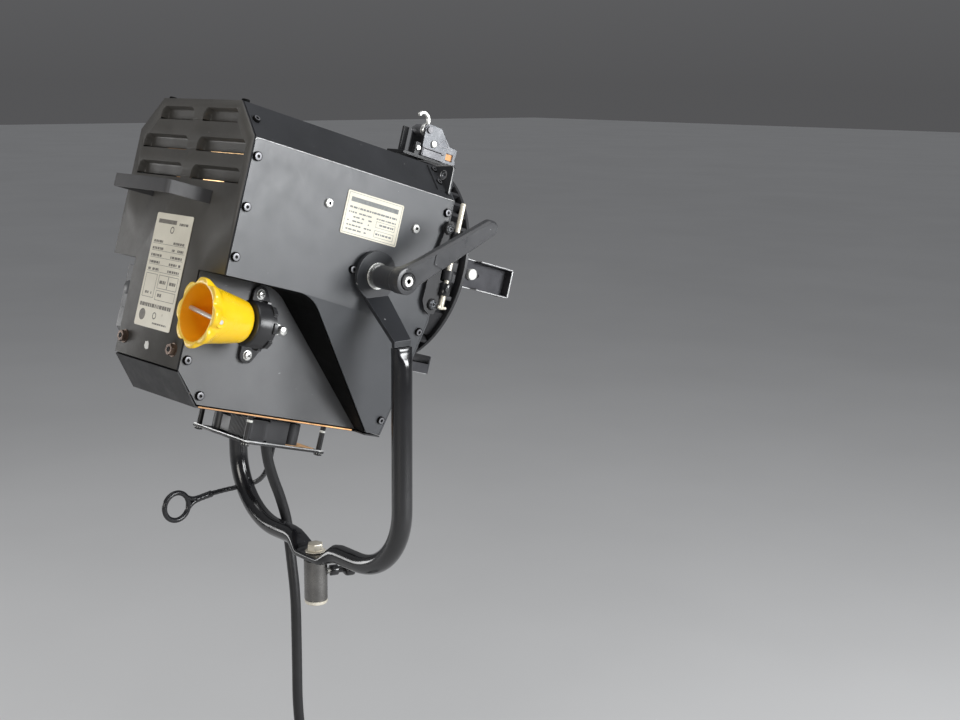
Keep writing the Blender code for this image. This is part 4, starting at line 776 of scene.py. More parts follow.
def rear_posts():
    bm = bmesh.new()
    for x in (-51.0, 51.0):
        place = placed((x, Y_REAR, -122), (0, 1, 0))
        turn = Matrix.Rotation(0.3, 4, "Z")
        drum(bm, 7.4, -0.3, 1.0, 30, place, 0)
        prism(bm, hexagon(6.4), "z", 0.9, 6.0, place @ turn, 0)
        # The small cap in the middle takes the near-black second material: painted shade at the post's
        # centre.
        polar(bm, [(0, 5.5), (3.0, 5.5), (2.6, 6.6), (1.6, 6.6), (1.6, 6.2), (0, 6.2)], 20, place, 1)
    piece("rear_posts", bm, "head", "bronze dark", bevel=0.5)


def worn_patch():
    bm = bmesh.new()
    shape = [(-4.6, -3.5), (-1.0, -4.8), (2.4, -3.9), (4.6, -1.2), (3.6, 2.0), (4.2, 3.6), (0.6, 3.4),
        (-1.2, 4.6), (-3.0, 2.6), (-4.0, 0.4)]
    prism(bm, [(3 + a, -124.5 + b) for a, b in shape], "y", Y_REAR - 0.1, Y_REAR + 0.18)
    piece("worn_patch", bm, "head", "flake")


rear_panel()
lit_slits()
rear_posts()
worn_patch()


# ---- yoke
def yoke_path():
    """Stations of the bent tube: x, z and how flat it is pressed there (1 is round)."""
    stations = []
    for z, flat in ((-72.0, 0.55), (-73.0, 0.62), (-76.0, 0.60), (-80.0, 0.66), (-84.0, 0.85), (-89.0, 0.96),
                    (-94.0, 1.0), (-120.0, 1.0), (-170.0, 1.0), (-220.0, 1.0)):
        stations.append((-YOKE_X, z, flat))
    for k in range(25):
        a = radians(180 + 90 * k / 24)
        stations.append((-YOKE_X + BEND_R + BEND_R * cos(a), YOKE_LOW + SADDLE + BEND_R + BEND_R * sin(a),
            1.0))
    for dx, flat in ((-50.0, 1.0), (-42.0, 0.95), (-36.0, 0.80), (-30.0, 0.60), (-25.0, 0.46), (-21.0, 0.40),
                     (-16.0, 0.39), (-8.0, FLAT)):
        stations.append((dx, YOKE_LOW + SADDLE - (1 - flat) * (YOKE_R + SADDLE / 0.615), flat))
    stations.append((0.0, YOKE_LOW - (1 - FLAT) * YOKE_R, FLAT))
    return stations + [(-a, b, s) for a, b, s in reversed(stations[:-1])]


def yoke_tube():
    stations = yoke_path()
    bm = bmesh.new()
    rings, sides = [], 64
    for i, (x, z, flat) in enumerate(stations):
        before, after = stations[max(i - 1, 0)], stations[min(i + 1, len(stations) - 1)]
        along = Vector((after[0] - before[0], 0, after[1] - before[1])).normalized()
        normal = Vector((-along.z, 0, along.x))
        thin = YOKE_R * flat
        wide = YOKE_R + (YOKE_R - thin) * (0.62 if z < -200 else 0.15)
        power = 0.55 + 0.45 * max(0.0, min(1.0, (flat - 0.5) / 0.5))
        ring = []
        for k in range(sides):
            a = 2 * pi * k / sides
            u = abs(cos(a)) ** power * (1 if cos(a) >= 0 else -1)
            v = abs(sin(a)) ** power * (1 if sin(a) >= 0 else -1)
            ring.append(bm.verts.new(Vector((x, 0, z)) + normal * (thin * u) + Vector((0, wide * v, 0))))
        rings.append(ring)
    for a, b in zip(rings, rings[1:]):
        for k in range(sides):
            m = (k + 1) % sides
            bm.faces.new((a[k], a[m], b[m], b[k]))
    bm.faces.new(rings[0])
    bm.faces.new(rings[-1])
    hole = bmesh.new()
    rod(hole, (0, 0, YOKE_LOW - 20), (0, 0, YOKE_LOW + 20), 6.4, 32)
    piece("yoke_bar", bm, "yoke", "enamel", STAND, bevel=0.5, limit=50, cut=[hole], stands_for=("yoke_tube",))


yoke_tube()


# ---- tilt clamp
def clamp_lever():
    x = BOSS_END - YOKE_PLATE - GAP - TILT_WASHER - GAP
    end = 175.0 + x
    bm = bmesh.new()
    polar(bm, [(0, 0.1), (11.9, 0.1), (12.2, 0.6), (12.4, 5), (12.7, 8), (13.2, end - 18), (13.8, end - 15.5),
        (14.5, end - 14.5), (14.7, end - 13.6), (14.7, end - 1.2), (14.4, end - 0.4), (13.6, end), (9.9, end),
        (9.3, end - 0.6), (9.3, end - 4.0), (0, end - 4.0)], 72, placed((x, 0, 0), (-1, 0, 0)))
    stud = bmesh.new()
    rod(stud, (x + YOKE_PLATE, 0, 0), (-151.0, 0, 0), 6.4, 32)
    along = Vector((-20.0, -108.0, 52.0)).normalized()
    out = Vector((-1, 0, 0))
    out = (out - along * out.dot(along)).normalized()
    across = out.cross(along)
    place = Matrix.Translation((LEVER_X, 0, 0)) @ Matrix((along, across, out)).transposed().to_4x4()
    length = 126.0
    outline = [(2.0, -14.4), (24, -12.0), (length - 9, -9.3)] + arc(length - 9, 0, 9.3, -75, 75, 16) \
        + [(length - 9, 9.3), (24, 12.0), (2.0, 14.4)] + arc(0, 0, 14.5, 92, 268, 26)
    rings = []
    for inset, height in ((0.9, -6.2), (0.0, -5.2), (0.0, 2.6), (2.3, 5.9)):
        ring = []
        for i, p in enumerate(outline):
            a, b = Vector(outline[i - 1]), Vector(outline[(i + 1) % len(outline)])
            d = (b - a).normalized()
            ring.append(bm.verts.new(place @ Vector((p[0] - d.y * inset, p[1] + d.x * inset, height))))
        rings.append(ring)
    n = len(outline)
    for a, b in zip(rings, rings[1:]):
        for k in range(n):
            bm.faces.new((a[k], a[(k + 1) % n], b[(k + 1) % n], b[k]))
    bm.faces.new(rings[0])
    bm.faces.new(rings[-1])
    groove = bmesh.new()
    prism(groove, ribbon([(43, -9.0), (36, 0), (43, 9.0)], 1.5), "z", 5.1, 8.0, place)
    seat = bmesh.new()
    rod(seat, (-171.0, 0, 0), (-182.0, 0, 0), 9.4, 48)
    piece("clamp_handle", bm, "clamp", "lever", STAND, bevel=0.35, limit=30, cut=[stud, groove, seat],
          stands_for=("clamp_lever",))
    bm = bmesh.new()
    place = placed((-171.0 - GAP, 0, 0), (-1, 0, 0))
    # The hex socket's wall and floor take the third, near-black material: painted shade in the socket.
    polar(bm, [(0, 0), (8.9, 0), (8.9, 4.6), (8.4, 5.0), (7.0, 5.0), (6.6, 4.4), (6.1, 4.4), (5.8, 5.4),
        (5.2, 5.9), (3.0, 5.9), (2.4, 5.2), (2.4, 2.0), (0, 2.0)], 48, place, inks=[0] * 6
        + [1, 1, 1, 1, 2, 2])
    piece("clamp_screw", bm, "clamp", "satin zinc dark", STAND, limit=30, stands_for=("lever_screw",))


clamp_lever()


# ---- focus cup
def focus_cup():
    place = placed((CUP_X, 0, CUP_Z), (0, 1, 0))

    def lobed(base, depth):
        """Eight broad lobes with narrow valleys between them."""
        return lambda a: base + depth * (1 - (0.5 - 0.5 * cos(8 * a)) ** 2.2)

    profile = [(0, 112), (5, 112), (5, 142), (17, 142), (20, 142.6), (21.8, 145), (22.8, 149), (24.0, 155)]
    inks = [0] * 8
    for k in range(17):
        t = k / 16
        y = 158 + 38 * t
        grow = max(0.0, min(1.0, (y - 183) / 12))
        profile.append((lobed(24.6 + 6.6 * t, 4.6 * grow * grow * (3 - 2 * grow)), y))
        inks.append(0)
    profile += [(lobed(31.2, 4.8), 197.6), (lobed(30.9, 4.7), 198.8), (lobed(30.5, 4.2), 199.4),
        (30.2, 199.4), (29.6, 199.0), (29.3, 198.0), (28.9, 194), (28.2, 189), (25.2, 172), (21.2, 156),
        (19.4, 150.5), (17.8, 149), (0, 149)]
    # Ink 2 is the lip, in the paler yellow as a painted highlight; ink 1 is the inner wall, in deeper orange
    # as painted shade.
    inks += [0, 2, 2, 2, 2, 1, 1, 1, 1, 1, 1, 1]
    bm = bmesh.new()
    polar(bm, profile, 192, place, inks=inks)
    piece("focus_handle", bm, "focus_knob", "yellow amber brim", limit=46, stands_for=("focus_cup",))

    turn = radians(7)
    d = Vector((cos(turn), 0, sin(turn)))
    at = Vector((CUP_X, 188.0, CUP_Z))
    bm = bmesh.new()
    rod(bm, at - d * 32.5, at + d * 32.5, 2.4, 28, chamfer=0.3)
    piece("cross_pin", bm, "focus_knob", "pin", stands_for=("cup_pin",))
    bm = bmesh.new()
    for s in (-1, 1):
        polar(bm, [(2.45, -3.5), (6.2, -3.5), (6.2, -0.6), (5.8, 0), (2.45, 0)], 40,
            placed(at + d * (32.3 * s), d * s))
    piece("pin_pads", bm, "focus_knob", "yellow", limit=40)


focus_cup()


# ---- lens door
def fin_radius(angle):
    turn = (angle * 180 / pi) % 360
    mirror = turn if turn <= 90 or turn >= 270 else (180 - turn) % 360
    if 18 <= mirror <= 62 or 292 <= mirror <= 318:
        return 123.0 if (turn + 1.25) % 7.5 < 2.5 else 113.0
    return 113.5 if 154 <= turn <= 206 else 118.0


def door_ring():
    at = placed((0, 0, LENS_Z), (0, -1, 0))

    def turned(angle):
        p = at @ Vector((cos(angle), sin(angle), 0)) - at.translation
        return fin_radius(atan2(p.z, p.x))

    f, b = 125.0, 96.0
    profile = [(84, b), (110, b), (111.4, b + 0.6), (112, b + 1.6), (112, b + 3.5), (turned, b + 3.5),
        (turned, f - 4.5), (123, f - 4.5), (123.7, f - 4.2), (124, f - 3.5), (124, f - 0.6), (123.4, f),
        (73.1, f), (72.5, f - 0.6), (72.5, f - 3.8), (77.0, f - 3.8), (77.0, b + 6), (84, b + 6)]
    bm = bmesh.new()
    polar(bm, profile, 720, at)
    x, y = HINGE_X, HINGE_Y
    for low, high in ((15.0, 26.0), (40.0, 52.0)):
        prism(bm, arc(x, y, 5.8, 0, 345, 23), "z", low, high)
        block(bm, x, -106.0, y - 5.6, y - 1.5, low, high)
    rod_hole = bmesh.new()
    rod(rod_hole, (x, y, -40), (x, y, 120), 3.3, 32)
    for low, high in ((13.0, 24.5), (26.0, 37.5)):
        prism(bm, rounded(-119.6, -111.5, low, high, 1.6, 4), "y", -113.8, -104.0)
    prism(bm, rounded(-121.0, -108.0, -7.0, -1.8, 1.0, 3), "y", -113.4, -104.0)
    piece("door_casting", bm, "lens_door", "cast", limit=32, cut=[rod_hole], stands_for=("door_ring",))


door_ring()


def fresnel():
    at = placed((0, 0, LENS_Z), (0, -1, 0))
    back, deep, proud = 110.0, 117.0, 120.6
    profile = [(0, back), (LENS_R, back), (LENS_R, proud), (70.5, proud)]
    bounds = [70.5, 64.0, 57.5, 51.0, 44.5, 38.0, 31.0, 23.5]
    for outer, inner in zip(bounds, bounds[1:]):
        for t in (0.0, 0.33, 0.66, 1.0):
            height = deep + (proud - 0.4 - deep) * (1 - (1 - t) ** 1.6)
            profile.append((outer - 0.3 + (inner - outer + 0.3) * t, height))
    for t in (0.0, 0.3, 0.6, 0.85):
        profile.append((23.2 * (1 - t), deep + (proud - 0.4 - deep) * (1 - (1 - t) ** 2)))
    profile.append((0, proud - 0.3))
    bm = bmesh.new()
    polar(bm, profile, 160, at)
    piece("step_lens", bm, "lens_door", "lens", limit=35, stands_for=("fresnel_lens",))
    bm = bmesh.new()
    coil = [Vector((-9 + 18 * i / 240, 20 + 3.0 * cos(2 * pi * i / 12), LENS_Z + 3.0 * sin(2 * pi * i / 12)))
            for i in range(241)]
    tube(bm, coil, 0.5, 6)
    piece("lamp_filament", bm, "lamp_carriage", "filament")


fresnel()


# ---- receiver and bolt
LOCK_DIR, LOCK_Z = (-0.35, -0.94, 0.0), -372.0


def receiver():
    top, low = YOKE_LOW - YOKE_R - GAP, -PIVOT_H
    profile = [(0, top - 9), (6.4, top - 9), (6.4, top), (13.2, top), (14.0, top - 0.8), (14.0, low + 6.2),
        (13.5, low + 5.6), (13.5, low + 4.6), (13.9, low + 4.2), (13.9, low + 1.6), (13.2, low + 0.5),
        (12.6, low), (8.5, low), (8.3, low + 0.3), (8.3, top - 13), (0, top - 13)]
    inks = [0] * 7 + [1, 1, 1, 1, 1] + [0, 0, 0]
    bm = bmesh.new()
    polar(bm, profile, 96, inks=inks)
    hole = bmesh.new()
    at = Vector((0, 0, LOCK_Z))
    rod(hole, at, at + 40 * Vector(LOCK_DIR), 4.3, 32)
    piece("socket_body", bm, "receiver_body", "turned cream", STAND, limit=38, cut=[hole],
        stands_for=("receiver",))
    z = YOKE_LOW + 2 * 0.39 * YOKE_R - YOKE_R + GAP
    bm = bmesh.new()
    polar(bm, [(0, top - 8.5), (6, top - 8.5), (6, z), (11.9, z), (12.3, z + 0.5), (12.2, z + 1.2),
        (10.2, z + 2.2), (0, z + 2.2)], 48)
    body = bmesh.new()
    prism(body, hexagon(9.8, turn=0.35), "z", z + 1.4, z + 10.2)
    mesh = bpy.data.meshes.new("hex")
    bmesh.ops.bevel(body, geom=[e for e in body.edges if all(v.co.z > z + 9 for v in e.verts)], offset=0.9,
                    segments=3, affect="EDGES", profile=0.5)
    body.to_mesh(mesh)
    body.free()
    bm.from_mesh(mesh)
    bpy.data.meshes.remove(mesh)
    piece("pivot_bolt", bm, "receiver_body", "cream", STAND, limit=30, bevel=0.25, stands_for=("yoke_bolt",))


receiver()


def lock_screw():
    place = placed((0, 0, LOCK_Z), LOCK_DIR)

    def wing(scale):
        return lambda a: scale * (7.3 + 6.5 * abs(cos(a)) ** 3)

    bm = bmesh.new()
    thread = []
    for k in range(6):
        thread += [(3.9, 9.4 + 1.2 * k), (3.4, 10.0 + 1.2 * k)]
    polar(bm, [(0, 9.2)] + thread + [(3.9, 16.9), (6.2, 17.4), (6.5, 17.9), (6.5, 26.6), (6.1, 27.2), (4, 28),
        (4, 34.2)], 48, place, 0)
    bm2 = bmesh.new()
    polar(bm2, [(0, 33.6), (5.5, 33.8), (wing(0.92), 35.2), (wing(1.0), 37), (wing(1.0), 43.6),
        (wing(0.93), 45.6), (6.2, 46.2), (5.2, 47.0), (0, 47.0)], 96, place, 0)
    for face in bm.faces:
        face.material_index = int((face.calc_center_median() - place.translation).length > 17.0)
    piece("lock_shaft", bm, "locking_screw", "zinc gloss", STAND, stands_for=("lock_screw",))
    piece("lock_wing", bm2, "locking_screw", "gloss", STAND, limit=50)


lock_screw()


# ---- printed plates
def print_rows(bm, put, rows, seed):
    """Rows of ink dashes; each row is (start, end, height, thickness, fill)."""
    draw = Random(seed)
    for start, end, height, thick, fill in rows:
        at = start
        while at < end - 0.6:
            run = min(draw.uniform(1.2, 5.4), end - at)
            if draw.random() < fill:
                put(bm, at, at + run, height - thick / 2, height + thick / 2)
            at += run + draw.uniform(0.6, 1.3)


def outline_box(bm, put, a, b, low, high, line):
    for edge in ((a, b, low, low + line), (a, b, high - line, high), (a, a + line, low, high),
                 (b - line, b, low, high)):
        put(bm, *edge)


def rating_plate():
    rear = Y_REAR + GAP
    bm = bmesh.new()
    prism(bm, rounded(-37, 37, -106.5, 16, 2.5), "y", rear, rear + 0.7)
    piece("data_plate", bm, "head", "ivory", bevel=0.15, stands_for=("rating_plate",))
    ink = bmesh.new()
    y0, y1 = rear + 0.66, rear + 0.78

    def put(bm, a, b, low, high):
        # reading direction runs towards -x, as seen from behind
        block(bm, -b, -a, y0, y1, low, high)

    # one plain bar as heading
    put(ink, -31.0, 6.0, 5.0, 9.4)
    print_rows(ink, put, [(12, 30, 6.0, 2.6, 1.0)], 3)
    for k in range(5):
        z = -14.6 - 7.5 * k
        put(ink, -33, 33, z - 2.6, z - 2.2)
        print_rows(ink, put, [(-32, -10, z, 2.6, 0.95), (8, 31, z, 2.6, 0.9)], 11 + k)
    for box in ((-33, -10, -75, -49.5), (-6, 33, -64, -49.5), (-6, 33, -76.5, -66)):
        outline_box(ink, put, *box, 0.5)
    put(ink, 13, 14, -64, -49.5)
    print_rows(ink, put, [(-28, -15, -70, 2.6, 0.9), (-3, 10, -57, 3.4, 0.9), (17, 30, -57, 3.4, 0.9),
                          (-2, 6, -71, 3.4, 0.9), (-33, 31, -83, 4.0, 0.97), (0, 28, -101, 1.8, 0.9)], 29)
    drum(ink, 6.2, 0.66, 0.78, 40, placed((24, rear, -94), (0, 1, 0)))
    for x, z in ((0, -1), (-1, -93)):
        washer(ink, 2.6, 3.8, 0.66, 0.78, 40, placed((x, rear, z), (0, 1, 0)))
    piece("data_plate_print", ink, "head", "ink")


rating_plate()


def makers_plate():
    x = -W_MAX - GAP
    bm = bmesh.new()
    prism(bm, rounded(-23, 55.4, 35.6, 82.1, 2.0), "x", x - 0.6, x)
    piece("side_plate", bm, "head", "ivory", bevel=0.15, stands_for=("makers_plate",))
    ink = bmesh.new()

    def put(bm, a, b, low, high):
        # reading direction runs towards -y, as seen from the near side
        block(bm, x - 0.68, x - 0.56, 55.4 - b, 55.4 - a, low, high)

    outline_box(ink, put, 2, 76.4, 37.2, 80.5, 0.4)
    # one plain bar as heading
    put(ink, 6, 72, 71.0, 76.0)
    print_rows(ink, put, [(6, 72, 65.3, 2.0, 0.96), (6, 72, 60.0, 1.6, 0.9), (6, 40, 55.4, 1.6, 0.9),
                          (6, 36, 50.8, 1.6, 0.9), (6, 40, 46.2, 1.6, 0.8), (6, 34, 41.6, 1.6, 0.8)], 5)
    for box in ((45, 72, 50.6, 57.4), (45, 72, 40.2, 47.6)):
        outline_box(ink, put, *box, 0.4)
    print_rows(ink, put, [(47, 70, 54.0, 2.0, 0.95), (47, 70, 43.9, 2.0, 0.95)], 8)
    piece("side_plate_print", ink, "head", "grey_ink")


makers_plate()


# ---- screws
def body_width(z):
    return W_MAX - (W_MAX - W_FOOT) * (Z_NOTCH - z) / (Z_NOTCH - Z_BOTTOM)


def screws():
    dark, bright = bmesh.new(), bmesh.new()
    for side in (-1, 1):
        wall = side * (W_MAX + 0.05)
        for y, z in ((174.5, 86.3), (174.5, 34.9), (174.5, -16.1), (-86.0, 89.1), (27.5, 0.8)):
            socket_screw(dark, (wall, y, z), (side, 0, 0), face=2)
        for y, z in ((76.9, 61.9), (-45.6, 61.9)):
            socket_screw(bright, (wall, y, z), (side, 0, 0), 4.9, 2.9)
        for y, z in ((-84.0, -48.9), (-74.0, -156.0)):
            socket_screw(dark, (side * (body_width(z) + 0.05), y, z), (side, 0, -0.18), 4.6, face=2)
        for y, z in ((173.0, -129.0), (149.5, -163.0)):
            socket_screw(dark, (side * (W_REAR + 0.05), y, z), (side, 0, 0), face=2)
        socket_screw(dark, (side * 95.0, 173.0, shoulder(95.0)), (side, 0, 1.01), 4.2, face=2)
        socket_screw(dark, (side * 72.0, 175.0, Z_TOP), (0, 0, 1), 4.2, face=2)
    for x in (85.6, 99.4):
        socket_screw(dark, (1.2 - x, -77.0, shoulder(x) + 1.6), (-1, 0, 1.01), 4.0, face=2)
    # The dark screws take the notch's near black on their sides and lighter steel on their flat tops: painted
    # shade on the sides, painted highlight on the tops.
    piece("case_screws", dark, "head", "notch dark steel")
    piece("case_screws_bright", bright, "head", "zinc dark")

    x = -W_REAR - GAP - 4
    bm = bmesh.new()
    for (y, z), turn in (((105.0, -46.6), 0.4), ((105.5, -112.5), 0.9)):
        cross_screw(bm, (x, y, z), (-1, 0, 0), 4.4, 3.9, turn)
    polar(bm, [(0, -0.3), (6.0, -0.3), (6.0, 1.2), (4.6, 1.3), (4.6, 9.4), (5.2, 9.8), (5.2, 12.4),
        (4.4, 14.0), (2.4, 14.8), (0, 15.0)], 36, placed((x, POST_Y, POST_Z), (-1, 0, 0)), 0)
    piece("drive_screws", bm, "head", "zinc dark")
    bm = bmesh.new()
    for y, z in ((-89.0, 71.5), (-88.0, -15.5)):
        # The washers under the heads take the near-black socket material: painted shade round the heads.
        washer(bm, 2.7, 6.6, 0.2, 0.9, 32, placed((-119.0, y, z), (-1, 0, 0)), 1)
        socket_screw(bm, (-119.0, y, z), (-1, 0, 0), 5.2, 3.6, 1.9)
    piece("hinge_screws", bm, "head", "galvanised dark")
    bm = bmesh.new()
    for place in channel_frames():
        at = place @ Vector((-116.0, -138.5, 0))
        normal = place.to_3x3() @ Vector((-1, 0, 0))
        polar(bm, [(0, 0), (6.4, 0), (6.4, 4.4), (5.9, 5.0), (0, 5.3)], 36, placed(at, normal), 0)
    piece("channel_screws", bm, "lens_door", "hook")


def shoulder(x):
    """Height of the sloping shoulder at a distance from the middle."""
    return Z_SHOULDER + GAP + (W_MAX - x) * (Z_TOP - Z_SHOULDER) / (W_MAX - W_TOP)


def channel_frames():
    return [Matrix.Translation((0, 0, LENS_Z)) @ Matrix.Rotation(turn, 4, "Y") for turn in (0.0, pi, -pi / 2)]


screws()


# ---- gearbox details
def tooth(angle):
    return 26.2 if cos(8 * angle) > -0.3 else 24.0


def focus_details():
    bm = bmesh.new()
    lugs = [(105.0, -46.6), (105.5, -112.5), (86.0, -80.0)]
    x = -W_REAR - GAP
    prism(bm, hull([p for y, z in lugs for p in arc(y, z, 9.0, 0, 360, 32)]), "x", x - 4.4, x)
    polar(bm, [(0, 3.6), (10.4, 3.6), (11.0, 4.4), (11.0, 12.0), (10.4, 13.0), (10.4, 34.0), (0, 34.0)], 48,
          placed((x, 122, CUP_Z), (-1, 0, 0)))
    boss = bmesh.new()
    polar(boss, [(5.4, 116.0), (20.0, 116.0), (21.6, 116.4), (21.6, 121.0), (24.4, 121.4), (24.4, 137.2),
                 (23.8, 138.4), (22.4, 139.2), (5.4, 139.2)], 72, placed((CUP_X, 0, CUP_Z), (0, 1, 0)))
    washer(bm, 21.8, tooth, 116.6, 121.2, 160,
        placed((CUP_X, 0, CUP_Z), (0, 1, 0)))
    piece("drive_flange", bm, "head", "satin", bevel=0.3)
    piece("drive_boss", boss, "head", "boss", limit=40, stands_for=("focus_gearbox",))


focus_details()


# ---- top catch
PIN_Y, PIN_Z = -118.6, 190.6


def catch():
    bm = bmesh.new()
    block(bm, -11.0, -10.0, -163.0, -152.0, 163.0, 170.4)
    piece("lit_window", bm, "lens_door", "window")
    bm = bmesh.new()
    outline = [(-156.0, 176.0), (-146.0, 186.5), (-136.0, 176.0)]
    inner = [(-153.0, 177.3), (-146.0, 184.6), (-139.0, 177.3)]
    for i in range(3):
        j = (i + 1) % 3
        prism(bm, [outline[i], outline[j], inner[j], inner[i]], "x", -13.35, -12.9)
    for a, b, c, d in ((-110.9, -146.8, 168.2, 169.0), (-110.9, -111.6, 158.6, 169.0)):
        block(bm, -16.4, -15.9, b, a, c, d)
    piece("catch_mark", bm, "lens_door", "steel")
    bm = bmesh.new()
    for part in ((-16.2, -13.2, -146.8, -110.8, 166.4, 168.4), (-16.2, -13.2, -146.8, -110.8, 158.2, 159.6),
                 (-16.2, -13.2, -113.0, -110.8, 158.2, 168.4), (-16.2, -15.0, -142.0, -110.8, 159.0, 168.0)):
        block(bm, *part)
    piece("catch_box", bm, "lens_door", "steel", bevel=0.25)
    bm = bmesh.new()
    polar(bm, [(0, -0.1), (4.6, -0.1), (4.6, 1.6), (3.6, 2.4), (0, 2.6)], 28,
        placed((-12.95, -129.3, 175.7), (-1, 0, 0)))
    polar(bm, [(0, -0.1), (3.4, -0.1), (3.4, 1.2), (2.6, 2.0), (0, 2.0)], 24,
        placed((-16.0, -104.0, 165.0), (-1, 0, 0)))
    turns, coil = 7, []
    for k in range(turns * 20 + 1):
        a = 2 * pi * k / 20
        coil.append(Vector((-9.5 + 5.2 * k / (turns * 20), PIN_Y + 7.4 * cos(a), PIN_Z + 7.4 * sin(a))))
    tube(bm, coil, 0.55, 8)
    piece("catch_spring", bm, "lens_door", "zinc")
    bm = bmesh.new()
    polar(bm, [(2.8, -11), (6.0, -11), (6.5, -10.5), (6.5, 10.5), (6.0, 11), (2.8, 11)], 40,
          placed((0, PIN_Y, PIN_Z), (1, 0, 0)))
    prism(bm, [(PIN_Y - 4.5, PIN_Z - 2), (PIN_Y - 4, PIN_Z + 4.5), (-150, 184), (-176, 166), (-176, 150),
        (-172, 150), (-171, 164), (-150, 177)], "x", -4, 4)
    for face in bm.faces:
        face.material_index = 1
    hook = [(-117.6, 195.5, 0), (-118.0, 200.5, 0), (-115.8, 205.6, 0), (-111.0, 208.6, 0),
        (-105.6, 208.0, 0), (-102.0, 204.4, 0)]
    prism(bm, ribbon([tuple(p)[:2] for p in smooth(hook, 0.8)], 3.4), "x", -9.6, -5.6)
    piece("catch_hook", bm, "top_catch", "hook steel", bevel=0.5, limit=40, stands_for=("catch_lever",))


catch()


# ---- painted highlights on edges
def edge_highlights():
    bm = bmesh.new()
    # A bead along each side panel's top edge: painted highlight.
    for side in (-1, 1):
        x = side * (W_MAX + 0.02)
        tube(bm, [(x, 180.6, Z_SHOULDER - 3.0), (x, 179.0, Z_SHOULDER - 1.0), (x, 175.5, Z_SHOULDER - 0.5),
            (x, 90.0, Z_SHOULDER - 0.5), (x, -60.0, Z_SHOULDER - 0.5), (x, -92.5, Z_SHOULDER - 0.5)], 0.55, 8)
    # Rings round the lug's hole and a bar along the lug's edge: painted highlights.
    lug = placed((-96.5, -86.7, 131.2), (0, 1, 0))
    washer(bm, 4.7, 5.6, -0.1, 0.2, 40, lug)
    washer(bm, 4.7, 5.6, 3.2, 3.5, 40, lug)
    tube(bm, [(-111.6, -83.6, 111.0), (-111.4, -83.6, 139.6), (-108.6, -83.6, 142.4), (-81.0, -83.6, 140.8)],
        0.55, 8)
    piece("case_edge_highlights", bm, "head", "wear_and_highlight", limit=60)
    bm = bmesh.new()
    # Strips along the channels' flange edges and ends: painted highlights.
    for place in channel_frames():
        for low, high in ((-16.8, -15.9), (15.9, 16.8)):
            for start, end, x in ((-195.9, -144.2, -126.05), (-144.0, -126.0, -116.1)):
                block(bm, x - 0.15, x + 0.4, start, end, low, high, place)
            block(bm, -126.2, -115.6, -144.2, -143.6, low, high, place)
        block(bm, -126.2, -125.6, -196.1, -194.4, -16.8, 16.8, place)
    piece("channel_edge_highlights", bm, "lens_door", "wear_and_highlight")


edge_highlights()


# ---- lit openings
def lit_edges():
    z = Z_BOTTOM - 1.3
    bm = bmesh.new()
    for side in (-1, 1):
        a, b = sorted((side * (W_REAR - 0.2), side * (W_REAR + 0.5)))
        block(bm, a, b, -58.0, 148.0, z - 1.5, z - 0.1)
    piece("lit_seam", bm, "head", "seam")
    bm = bmesh.new()
    block(bm, -44, 10, -27, 20, -204.6, -204.0)
    piece("lit_vent", bm, "head", "edge")


lit_edges()


# ---- hinge and vents
def hinge_rod():
    x, y = HINGE_X, HINGE_Y
    bm = bmesh.new()
    polar(bm, [(0, -19), (2.2, -19), (2.9, -18.4), (3.0, -17), (3.0, 102.4), (2.6, 103.5), (1.6, 104),
        (0, 104)], 36, Matrix.Translation((x, y, 0)))
    rod(bm, (x - 0.4, y - 7, -16.5), (x - 0.4, y + 5.5, -16.5), 1.7, 24, chamfer=0.4)
    piece("hinge_bar", bm, "head", "cream", stands_for=("hinge_rod",))
    bm = bmesh.new()
    for low, high in ((-2.6, 11.2), (56.3, 69.7)):
        polar(bm, [(3.3, low), (6.2, low), (6.6, low + 0.6), (6.6, high - 0.6), (6.2, high), (3.3, high)], 40,
              Matrix.Translation((x, y, 0)))
    rod(bm, (x - 5.0, y + 2.2, 4.3), (x - 7.2, y + 2.4, 4.3), 2.6, 20, chamfer=0.4)
    piece("hinge_knuckles", bm, "head", "gloss", limit=40)


hinge_rod()


def vent_details():
    bm = bmesh.new()
    # Posts and screw heads in the catch hook's pale ivory rather than steel: painted highlight on heads that
    # face down.
    for x, y in ((-48, 69), (48, 69), (-48, -31), (48, -31)):
        socket_screw(bm, (x, y, -205.8), (0, 0, -1), 4.6, 4.4, 1.8)
        drum(bm, 1.8, 0, 24.0, 24, Matrix.Translation((x, y, -205.9)), 0)
        polar(bm, [(0, 21.4), (3.2, 21.4), (3.4, 22.0), (3.4, 24.0), (0, 24.0)], 24,
              Matrix.Translation((x, y, -205.9)), 0)
    piece("vent_posts", bm, "head", "hook dark")
    bm = bmesh.new()
    for k in range(16):
        x = -46.0 + 2.6 * k
        block(bm, x, x + 1.1, 40, 66, -203.0, -182.0)
    block(bm, -46.0, -5.9, 39, 40.5, -205.6, -184.0)
    block(bm, -3.0, 13.0, 46, 64, -203.0, -186.0)
    drum(bm, 9.0, 0, 20.0, 40, Matrix.Translation((26.0, 56.0, -205.0)))
    piece("vent_fins", bm, "head", "moulded", bevel=0.2)
    bm = bmesh.new()
    # Strips along two edges of the vent plate, in the pale edge steel: painted highlight.
    block(bm, -52.4, -52.0, -35, 73, -205.6, -204.2)
    block(bm, -52.4, 52.4, 73.0, 73.4, -205.6, -204.2)
    piece("vent_edge", bm, "head", "wear_and_highlight")


vent_details()


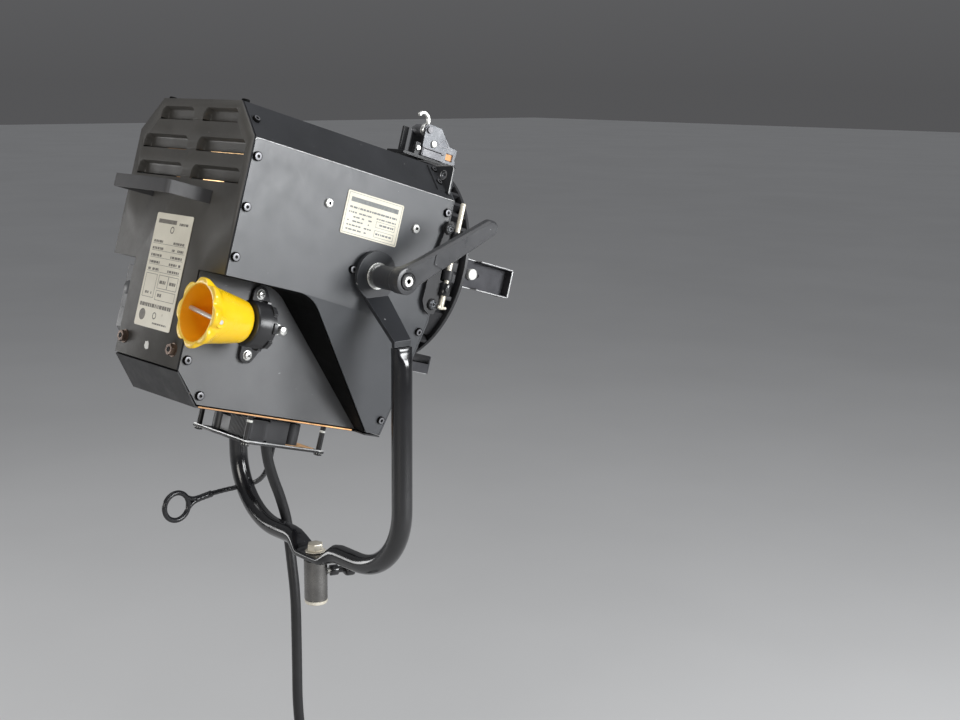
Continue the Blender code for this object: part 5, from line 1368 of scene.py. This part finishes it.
# ---- light, floor
def area_light(name, at, aim, size, power, colour=(1, 1, 1)):
    data = bpy.data.lights.new(name, "AREA")
    data.shape, data.size, data.size_y = "RECTANGLE", size[0], size[1]
    data.energy, data.color = power, colour
    obj = bpy.data.objects.new(name, data)
    obj.matrix_world = placed(Vector(at), Vector(at) - Vector(aim))
    link(obj)


def studio():
    low = CAD_LOW[2] - 0.002
    bm = bmesh.new()
    prism(bm, [(-30, -30), (30, -30), (30, 30), (-30, 30)], "z", low - 0.05, low)
    mesh = bpy.data.meshes.new("floor")
    bmesh.ops.recalc_face_normals(bm, faces=bm.faces)
    bm.to_mesh(mesh)
    bm.free()
    mat, nodes, links, shader, where = material("pale_floor")
    cloud = noise(nodes, links, where, 1.2, 3.0)
    links.new(mixed(nodes, links, spread(nodes, links, cloud, 0.3, 0.7), (0.62, 0.62, 0.62),
        (0.66, 0.66, 0.66)), shader.inputs["Base Color"])
    shader.inputs["Roughness"].default_value = 0.8
    mesh.materials.append(mat)
    floor = bpy.data.objects.new("floor", mesh)
    link(floor)
    target = (0, 0, 0.40)
    area_light("key", (-2.4, -1.05, 0.78), target, (1.4, 0.9), 74, (0.97, 0.985, 1.0))
    area_light("overhead", (-0.5, 0.3, 2.6), target, (2.0, 2.0), 22)
    area_light("rear", (-1.2, 2.6, 0.7), target, (1.2, 1.0), 20, (1.0, 0.97, 0.92))
    area_light("far_side", (2.1, 1.35, 0.30), target, (1.2, 0.6), 13)
    scene = bpy.context.scene
    scene.view_settings.view_transform = "Standard"
    scene.world = scene.world or bpy.data.worlds.new("world")
    scene.world.use_nodes = True
    nodes, links = scene.world.node_tree.nodes, scene.world.node_tree.links
    split = nodes.new("ShaderNodeSeparateXYZ")
    links.new(nodes.new("ShaderNodeTexCoord").outputs["Generated"], split.inputs["Vector"])
    fade = spread(nodes, links, split.outputs[2], 0.0, 0.7)
    links.new(mixed(nodes, links, fade, (0.09, 0.09, 0.093), (0.26, 0.265, 0.275)),
              nodes["Background"].inputs["Color"])
    nodes["Background"].inputs["Strength"].default_value = 1.0


studio()
